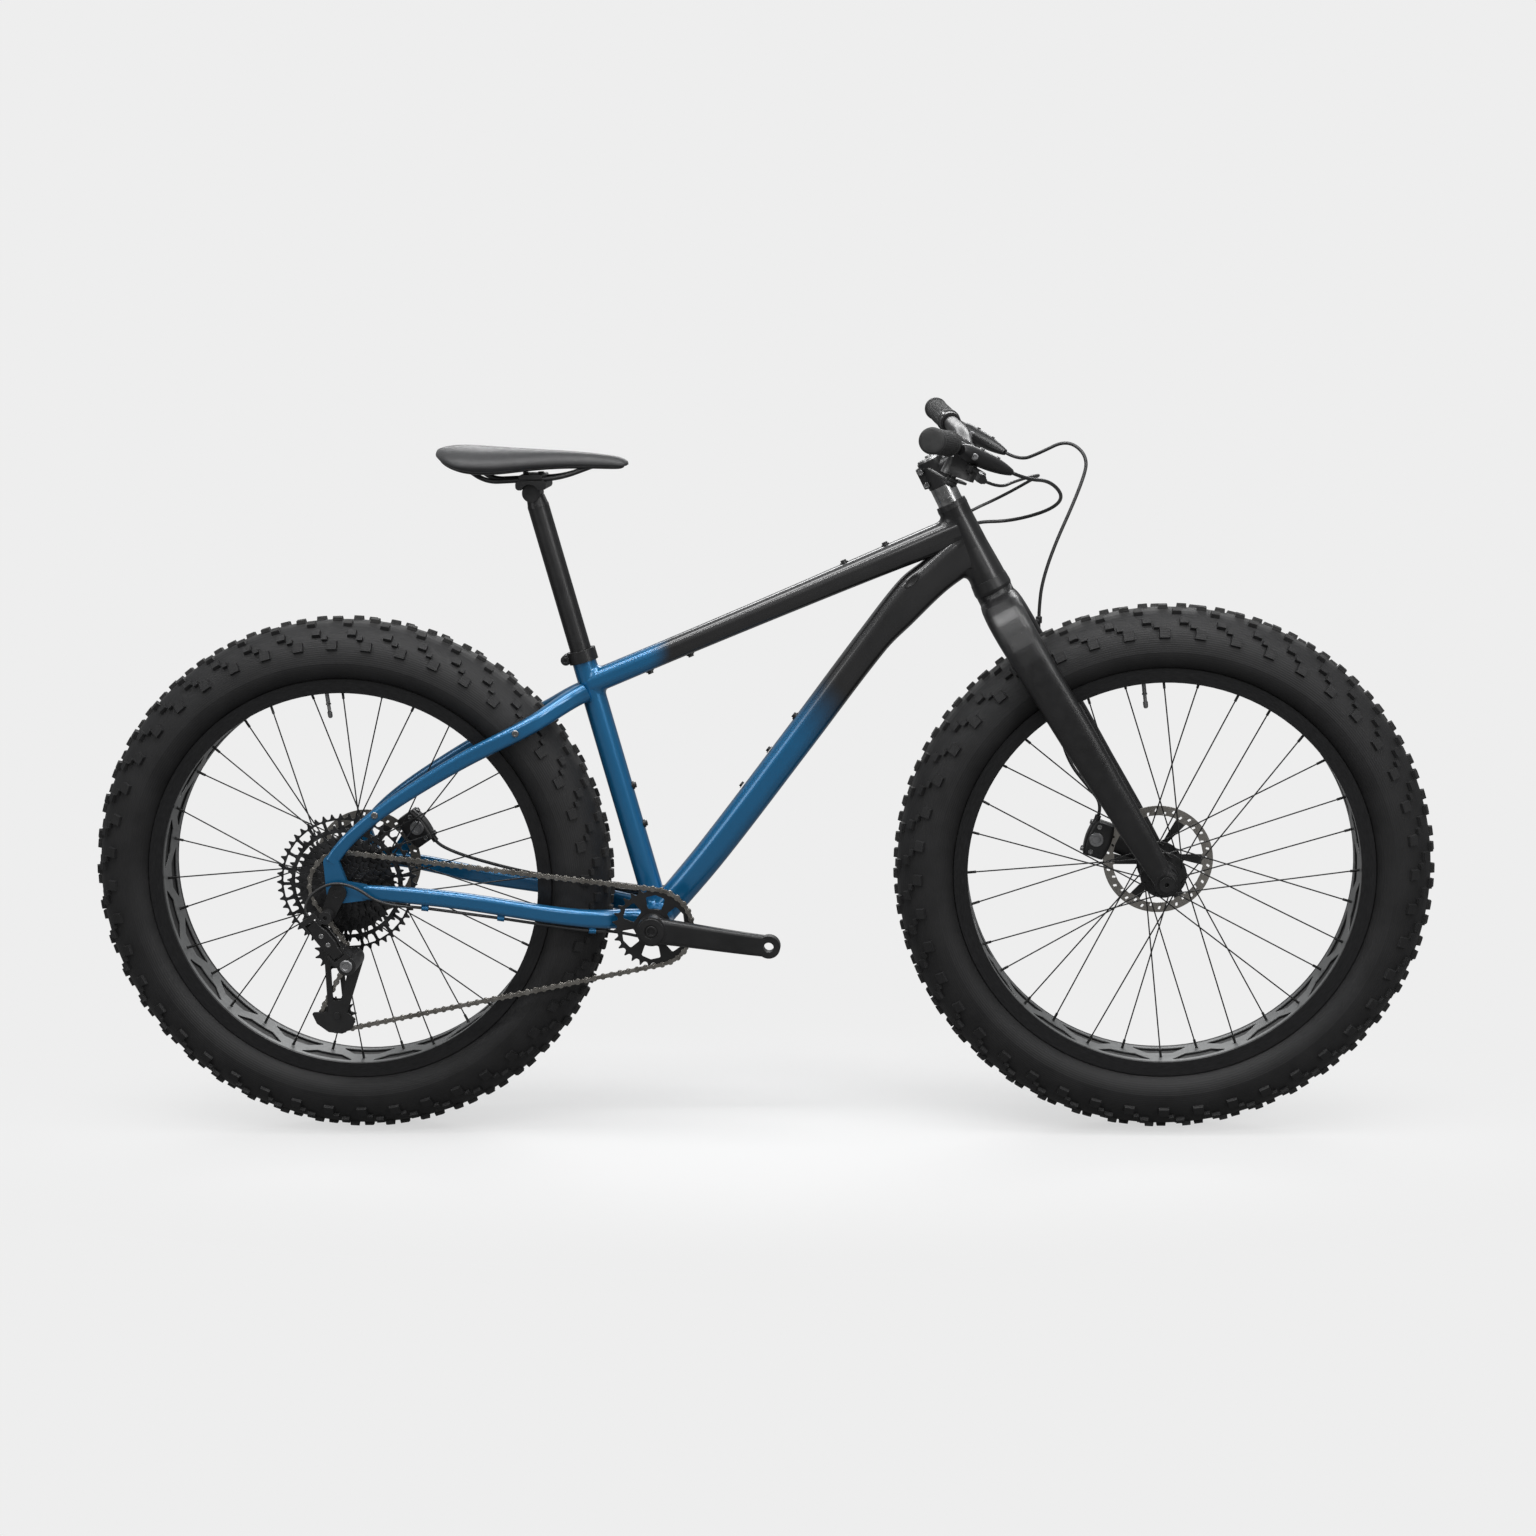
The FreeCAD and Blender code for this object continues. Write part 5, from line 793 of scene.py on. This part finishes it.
def make_saddle():
    rings = [saddle_row(s) for s in SADDLE]
    verts, faces = ring_loft(rings)
    cover = subdivided(new_mesh("saddle_cover", verts, faces, MATERIALS["cover"]), 3)
    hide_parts("saddle")
    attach(cover, "saddle")
    shell_rings = []
    for x, half, _, _, low in SADDLE[1:-1]:
        wide = 0.86 * half
        ring = [(-wide, low + 0.0062), (-wide, low + 0.0015), (-0.80 * wide, low), (-0.3 * wide, low + 0.001),
                (0.3 * wide, low + 0.001), (0.80 * wide, low), (wide, low + 0.0015), (wide, low + 0.0062),
                (0.4 * wide, low + 0.0066), (-0.4 * wide, low + 0.0066)]
        shell_rings.append([SADDLE_AT + Vector((x, y, z)) for y, z in ring])
    verts, faces = ring_loft(shell_rings)
    shell = subdivided(new_mesh("saddle_shell", verts, faces, MATERIALS["plastic"]), 2)
    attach(shell, "saddle")


def grip_rings():
    """One lock-on grip: clamp collar, knurled sleeve, flange and domed end cap."""
    length = 0.132
    base = BAR_END - BAR_OUT * length
    side, other = frame_across(BAR_OUT)
    count = 144
    rings = []

    def add(along, radius, knurl=0.0):
        ring = []
        for k in range(count):
            turn = 2 * math.pi * k / count
            r = radius
            if knurl:
                first = abs(math.sin(9 * turn + along * 330))
                second = abs(math.sin(9 * turn - along * 330))
                r += knurl * (min(1.0, 2.2 * first * second) - 0.4)
            ring.append(base + BAR_OUT * along + side * (r * math.cos(turn)) + other * (r * math.sin(turn)))
        rings.append(ring)

    for along, radius in ((0.0, 0.0115), (0.0, 0.0166), (0.0008, 0.0173), (0.0082, 0.0173), (0.009, 0.0166),
                          (0.0094, 0.0150), (0.0112, 0.0150), (0.0118, 0.0154)):
        add(along, radius)
    steps = 122
    for k in range(steps + 1):
        t = k / steps
        along = 0.0125 + t * (0.1215 - 0.0125)
        swell = 0.0150 + 0.0005 * math.sin(math.pi * t)
        edge = min(1.0, 12 * t, 12 * (1 - t))
        add(along, swell, 0.0015 * edge)
    for along, radius in ((0.1228, 0.0152), (0.1236, 0.0164), (0.1250, 0.0171), (0.1300, 0.0172),
                          (0.1330, 0.0169),
                          (0.1345, 0.0160), (0.1352, 0.0135), (0.1354, 0.0090), (0.1354, 0.0030)):
        add(along, radius)
    return ring_loft(rings)


def make_grips():
    shape = grip_rings()
    verts, faces = list(shape[0]), list(shape[1])
    add_shape((verts, faces), mirror_shape(shape))
    grips = new_mesh("knurled_grips", verts, faces, MATERIALS["grip"])
    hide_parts("grips")
    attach(grips, "steering")


# Small fittings

LEVER_FORE = Vector((0.8829, 0.0, -0.4695))
LEVER_UP = Vector((0.4695, 0.0, 0.8829))
BRAKE_AT = Vector((0.2932, 0.234, 1.0171))
SHIFT_AT = Vector((0.2963, -0.214, 1.0151))
PORT_WAY = Vector((0.4480, 0.8683, 0.2137))


def flipped(p):
    return Vector((p[0], -p[1], p[2]))


VALVE_TURN = math.radians(95.6)
VALVE_RADIUS = 0.2788
VALVE = [(0.0, 0.0046), (0.0012, 0.0046), (0.0018, 0.0030), (0.0200, 0.0030), (0.0204, 0.0038),
         (0.0222, 0.0038),
         (0.0226, 0.0026), (0.0320, 0.0026), (0.0330, 0.0036), (0.0400, 0.0034), (0.0420, 0.0022),
         (0.0424, 0.0002)]
LOCKRING = [(0.0, 0.0150), (0.0, 0.0232), (0.0022, 0.0232), (0.0030, 0.0222), (0.0030, 0.0178),
            (0.0016, 0.0166),
            (0.0016, 0.0150)]
CALIPER_CAP = [(0.0, 0.0105), (0.0012, 0.0105), (0.0020, 0.0096), (0.0020, 0.0062), (0.0011, 0.0056),
               (0.0011, 0.0004)]


def wheel_fittings():
    wheels = (("front", FRONT, 0.0619, "front_wheel"), ("rear", REAR, 0.0854, "rear_wheel"))
    for name, hub, face, body in wheels:
        way = Vector((math.cos(VALVE_TURN), 0.0, math.sin(VALVE_TURN)))
        valve = lathe(VALVE, hub + way * VALVE_RADIUS, -way, 20)
        group(name + "_valve", [valve], "bolt", body)
        lockring = turned_ring(LOCKRING, hub + Y * face, Y, 60)
        group(name + "_rotor_lockring", [lockring], "anodised", body)


def caliper_fittings():
    for name, centre, hub, y, body in (("front", Vector((0.5035, 0, 0.4175)), FRONT, 0.061, "steering"),
                                       ("rear", Vector((-0.5137, 0, 0.4374)), REAR, 0.0845, "frame")):
        out = (centre - hub).normalized()
        side = Vector((-out.z, 0, out.x))
        mid = Vector((centre.x, y, centre.z))
        node = name + "_caliper"
        caps = [lathe(CALIPER_CAP, face_of(node, mid + out * 0.004 - Y * 0.05, Y), -Y, 36)]
        screws = []
        for shift in (-0.0195, 0.0195):
            place = face_of(node, mid + out * 0.006 + side * shift - Y * 0.05, Y)
            screws.append(cap_screw(place, -Y, 0.0036, 0.0030))
        for shift in (-0.021, 0.021):
            place = face_of(node, mid + side * shift + out * 0.08, -out)
            screws.append(cap_screw(place, out, 0.0040, 0.0036))
        group(name + "_caliper_caps", caps, "grey", body)
        group(name + "_caliper_screws", screws, "bolt", body)


# Hydroformed tubes: low fraction and offset, high fraction and offset along a line, width and corner

TOP_LINE = (Vector((-0.228614, 0.0, 0.668092)), Vector((0.309483, 0.0, 0.883526)))
TOP_TUBE = (
    (0.0, -0.0165, 0.0, 0.0165, 0.036, 0.013),
    (0.25, -0.016, 0.25, 0.016, 0.038, 0.013),
    (0.55, -0.017, 0.55, 0.017, 0.041, 0.014),
    (0.80, -0.019, 0.80, 0.019, 0.044, 0.015),
    (1.0, -0.023, 1.0, 0.020, 0.043, 0.015),
)
DOWN_LINE = (Vector((-0.141039, 0.0, 0.322)), Vector((0.321537, 0.0, 0.858254)))
DOWN_TUBE = (
    (0.0, -0.021, 0.0, 0.021, 0.052, 0.016),
    (0.178, -0.022, 0.178, 0.0225, 0.050, 0.017),
    (0.476, -0.012, 0.476, 0.033, 0.052, 0.017),
    (0.728, -0.003, 0.728, 0.0435, 0.050, 0.017),
    (0.808, -0.0077, 0.852, 0.0465, 0.048, 0.017),
    (0.895, -0.0138, 0.914, 0.0384, 0.046, 0.016),
    (0.955, -0.024, 0.985, 0.030, 0.044, 0.015),
    (0.995, -0.034, 1.025, 0.018, 0.042, 0.015),
)


def line_point(line, fraction, offset):
    along = line[1] - line[0]
    up = Vector((-along.z, 0.0, along.x)).normalized()
    return line[0] + along * fraction + up * offset


def smooth_value(knots, values, t):
    """Value at t of a cubic through the values at their knots."""
    i = max(k for k in range(len(knots) - 1) if knots[k] <= t or k == 0)

    def slope(k):
        a, b = max(k - 1, 0), min(k + 1, len(knots) - 1)
        return (values[b] - values[a]) / (knots[b] - knots[a])

    span = knots[i + 1] - knots[i]
    u = (t - knots[i]) / span
    return (values[i] * (2 * u ** 3 - 3 * u ** 2 + 1) + slope(i) * (span * (u ** 3 - 2 * u ** 2 + u))
            + values[i + 1] * (3 * u ** 2 - 2 * u ** 3) + slope(i + 1) * (span * (u ** 3 - u ** 2)))


def round_box(width, height, corner):
    """Points round a rectangle with rounded corners, always as many: (across, up)."""
    points = []
    for n, (side, up) in enumerate(((1, 1), (-1, 1), (-1, -1), (1, -1))):
        centre = (side * (width / 2 - corner), up * (height / 2 - corner))
        for k in range(13):
            turn = math.radians(90 * n + 90 * k / 12)
            points.append((centre[0] + corner * math.cos(turn), centre[1] + corner * math.sin(turn)))
        after = ((-1, 1), (-1, -1), (1, -1), (1, 1))[n]
        target = (after[0] * (width / 2 - corner), after[1] * (height / 2 - corner))
        turn = math.radians(90 * n + 90)
        for k in range(1, 7):
            t = k / 7
            points.append((centre[0] + (target[0] - centre[0]) * t + corner * math.cos(turn),
                           centre[1] + (target[1] - centre[1]) * t + corner * math.sin(turn)))
    return points


def tube_skin(name, line, stations, key, hosts):
    """Even skin of a shaped tube, each line of it ended where it runs into the pieces that hold the tube."""
    knots = [(row[0] + row[2]) / 2 for row in stations]
    lows = [line_point(line, row[0], row[1]) for row in stations]
    highs = [line_point(line, row[2], row[3]) for row in stations]
    widths = [row[4] for row in stations]
    corners = [row[5] for row in stations]

    def ring(t):
        low, high = smooth_value(knots, lows, t), smooth_value(knots, highs, t)
        up = (high - low).normalized()
        middle = (low + high) / 2
        box = round_box(smooth_value(knots, widths, t), (high - low).length, smooth_value(knots, corners, t))
        return [middle + Y * y + up * z for y, z in box]

    steps = 240
    rows = [ring(knots[0] + (knots[-1] - knots[0]) * i / steps) for i in range(steps + 1)]
    walls = [[surface(host) for host in pair] for pair in hosts]
    spans = []
    for k in range(len(rows[0])):
        ends = []
        for pair, path in ((walls[0], range(steps // 2, 0, -1)), (walls[1], range(steps // 2, steps))):
            move = -1 if pair is walls[0] else 1
            stop = None
            for i in path:
                here, after = rows[i][k], rows[i + move][k]
                reach = (after - here).length
                if any(wall.ray_cast(here, after - here, reach)[0] is not None for wall in pair):
                    stop = i + move
                    break
            ends.append(stop if stop is not None else path[-1] + move)
        spans.append(ends)
    count = 120
    rings = []
    for n in range(count + 1):
        share = n / count
        points = []
        for k, (first, last) in enumerate(spans):
            at = first + (last - first) * share
            i = min(int(at), steps - 1)
            points.append(rows[i][k].lerp(rows[i + 1][k], at - i))
        rings.append(points)
    verts, faces = ring_loft(rings, False)
    skin = new_mesh(name + "_skin", verts, faces, MATERIALS[key])
    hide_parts(name)
    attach(skin, "frame")


def frame_skins():
    tube_skin("top_tube", TOP_LINE, TOP_TUBE, "top", (("seat_tube",), ("head_tube",)))
    tube_skin("down_tube", DOWN_LINE, DOWN_TUBE, "down", (("bottom_bracket_shell",), ("head_tube",)))


# Smoothed welds: the tube, the piece that it meets, a point inside the tube, its way there, the reach

BLACK_WELDS = (
    ("top_tube", "head_tube", (0.2557, 0.0, 0.8620), (0.9284, 0.0, 0.3716), 0.012),
    ("down_tube", "head_tube", (0.2680, 0.0, 0.8151), (0.8500, 0.0, 0.5300), 0.012),
)
BLUE_WELDS = (
    ("top_tube", "seat_tube", (-0.1748, 0.0, 0.6896), (-0.9284, 0.0, -0.3716), 0.008),
    ("seatstays", "seat_tube", (-0.2645, -0.0355, 0.6422), (0.0429, 0.0250, 0.0222), 0.007),
    ("seatstays", "seat_tube", (-0.2645, 0.0355, 0.6422), (0.0429, -0.0250, 0.0222), 0.007),
    ("chainstays", "bottom_bracket_shell", (-0.1900, -0.0455, 0.3280), (0.0359, 0.0110, -0.0041), 0.007),
    ("chainstays", "bottom_bracket_shell", (-0.1900, 0.0455, 0.3280), (0.0359, -0.0110, -0.0041), 0.007),
    ("down_tube", "bottom_bracket_shell", (-0.1040, 0.0, 0.3649), (-0.6531, 0.0, -0.7573), 0.007),
    ("seat_tube", "bottom_bracket_shell", (-0.1557, 0.0, 0.3802), (0.2453, 0.0, -0.9694), 0.007),
)


def weld(tube_node, host, back, way, reach):
    """A concave skin round the end of a tube, from its side to the face of the piece that it meets."""
    pipe = surface(tube_node)
    wall = surface(host)
    back = Vector(back)
    way = Vector(way).normalized()
    side, other = frame_across(way)
    count = 120
    steps = 8
    verts = []
    found = []
    for k in range(count):
        turn = 2 * math.pi * k / count
        out = side * math.cos(turn) + other * math.sin(turn)
        at = back
        for _ in range(3):
            skin = pipe.ray_cast(at + out * 0.10, -out)[0]
            meet = None
            if skin is not None and (skin - at).dot(out) > 0.006:
                meet = wall.ray_cast(skin + out * 0.0002, way)[0]
            if meet is None:
                break
            at = back + way * ((meet - back).dot(way) - 0.003)
        if meet is None:
            continue
        found.append(k)
        foot = pipe.find_nearest(meet - way * reach)[0]
        top = wall.find_nearest(meet + out * reach)[0]
        for i in range(steps + 1):
            t = i / steps
            verts.append(foot * (1 - t) ** 2 + meet * (2 * t * (1 - t)) + top * t * t)
        verts.append(meet - out * 0.0025 + way * 0.0015)
    rows = steps + 2
    faces = []
    for n, k in enumerate(found):
        after = (n + 1) % len(found)
        if (found[after] - k) % count > 2:
            continue
        a, b = n * rows, after * rows
        for i in range(rows):
            j = (i + 1) % rows
            faces.append((a + i, b + i, b + j, a + j))
    return verts, faces


STAY_MOUTH = Vector((-0.23456, 0.0180, 0.65763))
STAY_WAY = Vector((0.7891, -0.4597, 0.4075))
SEAT_FOOT = Vector((-0.1410, 0.0, 0.3220))
SEAT_UP = Vector((-0.2453, 0.0, 0.9694))
SEAT_SKIN = 0.0166


def stay_end():
    """Domed end over the mouth of the left seatstay, kept out of the seat tube's bore."""
    high = (Z - STAY_WAY * STAY_WAY.z).normalized()
    wide = STAY_WAY.cross(high)
    rings = []
    for out, grow in ((-0.0040, 0.84), (0.0, 0.97), (0.0010, 0.90), (0.0016, 0.70), (0.0018, 0.35)):
        ring = []
        for a, b in round_box(0.024 * grow, 0.027 * grow, 0.0096 * grow):
            p = STAY_MOUTH + STAY_WAY * out + wide * a + high * b
            axis = SEAT_FOOT + SEAT_UP * (p - SEAT_FOOT).dot(SEAT_UP)
            if (p - axis).length < SEAT_SKIN:
                p = axis + (p - axis).normalized() * SEAT_SKIN
            ring.append(p)
        rings.append(ring)
    return ring_loft(rings)


def welds():
    end = stay_end()
    group("stay_ends", [end, mirror_shape(end)], "blue", "frame")
    group("black_welds", [weld(*row) for row in BLACK_WELDS], "black", "frame")
    group("blue_welds", [weld(*row) for row in BLUE_WELDS], "blue", "frame")


def frame_fittings():
    plugs = []
    for at, bore in ((Vector((0.3220, 0.0205, 0.8844)), 0.0027), (Vector((0.3139, 0.0198, 0.9005)), 0.0024)):
        outline = [(-0.0020, bore), (-0.0020, 0.0060), (0.0004, 0.0058), (0.0030, 0.0042),
                   (0.0036, bore + 0.0004)]
        plugs.append(turned_ring(outline, at, PORT_WAY, 32))
    group("cable_port_grommets", plugs, "plastic", "frame")
    port = face_of("down_tube", (0.2375, -0.2, 0.8115), Y)
    along = Vector((0.70, 0.0, 0.714))
    across = Vector((-0.714, 0.0, 0.70))
    rings = []
    for high, grow in ((-0.0010, 1.0), (0.0006, 1.0), (0.0012, 0.88), (0.0012, 0.62), (0.0007, 0.55)):
        rings.append(circle(port - Y * high, along * 0.0150, across * 0.0058, grow, 40))
    group("cable_port_plug", [ring_loft(rings)], "plastic", "frame")
    screws = []
    for x, z in ((-0.532, 0.497), (-0.327, 0.610)):
        at = face_of("seatstays", (x, -0.3, z), Y)
        screws.append(cap_screw(at + Y * 0.0004, -Y, 0.0050, 0.0030))
        screws.append(cap_screw(flipped(at + Y * 0.0004), Y, 0.0050, 0.0030))
    group("rack_eyelet_screws", screws, "bolt", "frame")


def control_fittings(front_line):
    screws = []
    for at in (BRAKE_AT, flipped(BRAKE_AT), SHIFT_AT):
        node = "shifter_body" if at == SHIFT_AT else "brake_masters"
        place = face_of(node, at - LEVER_FORE * 0.06 + LEVER_UP * 0.006, LEVER_FORE)
        screws.append(cap_screw(place + LEVER_FORE * 0.0005, -LEVER_FORE, 0.0034, 0.0032))
    base = BAR_END - BAR_OUT * 0.1275
    down = (-Z + X * 0.35)
    down = (down - BAR_OUT * down.dot(BAR_OUT)).normalized()
    screws.append(cap_screw(base + down * 0.0170, down, 0.0026, 0.0016))
    screws.append(cap_screw(flipped(base + down * 0.0170), flipped(down), 0.0026, 0.0016))
    group("control_clamp_screws", screws, "bolt", "steering")
    pins = []
    caps = []
    for mirror in (1, -1):
        start = Vector((BRAKE_AT.x, BRAKE_AT.y * mirror, BRAKE_AT.z))
        for fore, inward in ((0.042, 0.0097), (0.066, 0.0295)):
            above = start + LEVER_FORE * fore - Y * (inward * mirror) + LEVER_UP * 0.05
            pins.append(cap_screw(face_of("brake_masters", above, -LEVER_UP), LEVER_UP, 0.0027, 0.0016))
        at = face_of("brake_masters", start + LEVER_FORE * 0.036 - Y * 0.10, Y)
        caps.append(cap_screw(at, -Y, 0.0046, 0.0018))
    group("master_screws", pins, "bolt", "steering")
    group("lever_pivot_caps", caps, "grey", "steering")
    target = Vector((0.4174, 0.095, 0.7362))
    index = min(range(len(front_line)), key=lambda k: (front_line[k] - target).length)
    at = front_line[index]
    along = (front_line[index + 1] - front_line[index - 1]).normalized()
    outline = [(-0.0050, 0.00255), (-0.0050, 0.0040), (-0.0042, 0.0046), (0.0042, 0.0046),
               (0.0050, 0.0040), (0.0050, 0.00255)]
    shapes = [turned_ring(outline, at, along, 28)]
    inward = Vector((-0.62, -0.72, -0.30)).normalized()
    foot = face_of("fork", at + inward * 0.003, inward)
    reach = (foot - at).length
    arm = [(0.0036, 0.0028), (reach - 0.0015, 0.0032), (reach, 0.0046), (reach + 0.0010, 0.0046)]
    shapes.append(lathe(arm, at, foot - at, 20))
    group("fork_hose_guide", shapes, "plastic", "steering")


def drive_fittings():
    right = BB - Y * 0.0915
    cap = [(0.0, 0.0088), (0.0040, 0.0088), (0.0048, 0.0080), (0.0048, 0.0056), (0.0018, 0.0052),
           (0.0018, 0.0003)]
    ring = [(-0.0004, 0.0096), (0.0010, 0.0100), (0.0010, 0.0186), (-0.0004, 0.0196)]
    shapes = [lathe(cap, right, -Y, 36), turned_ring(ring, BB - Y * 0.0955, -Y, 60)]
    shapes += [mirror_shape(shape) for shape in shapes]
    group("crank_caps", shapes, "anodised", "crank")
    dished = [(-0.0006, 0.0092), (0.0014, 0.0092), (0.0022, 0.0082), (0.0022, 0.0058), (0.0012, 0.0050),
              (0.0012, 0.0004)]
    at = face_of("derailleur_p_knuckle", (-0.578, -0.2, 0.283), Y)
    group("knuckle_cap", [lathe(dished, at, -Y, 40)], "grey", "p_knuckle")
    screws = []
    for x, z in ((-0.6116, 0.3278), (-0.6020, 0.3150)):
        screws.append(cap_screw(face_of("derailleur_outer_link", (x, -0.2, z), Y), -Y, 0.0036, 0.0012))
    group("limit_screws", screws, "bolt", "outer_link")


make_materials()
dress_nodes()
even_shading()
aim_camera()
light_studio()
lay_floor()
lines = run_cords()
make_saddle()
make_grips()
wheel_fittings()
caliper_fittings()
frame_fittings()
control_fittings(lines["front_hose"])
drive_fittings()
welds()
frame_skins()
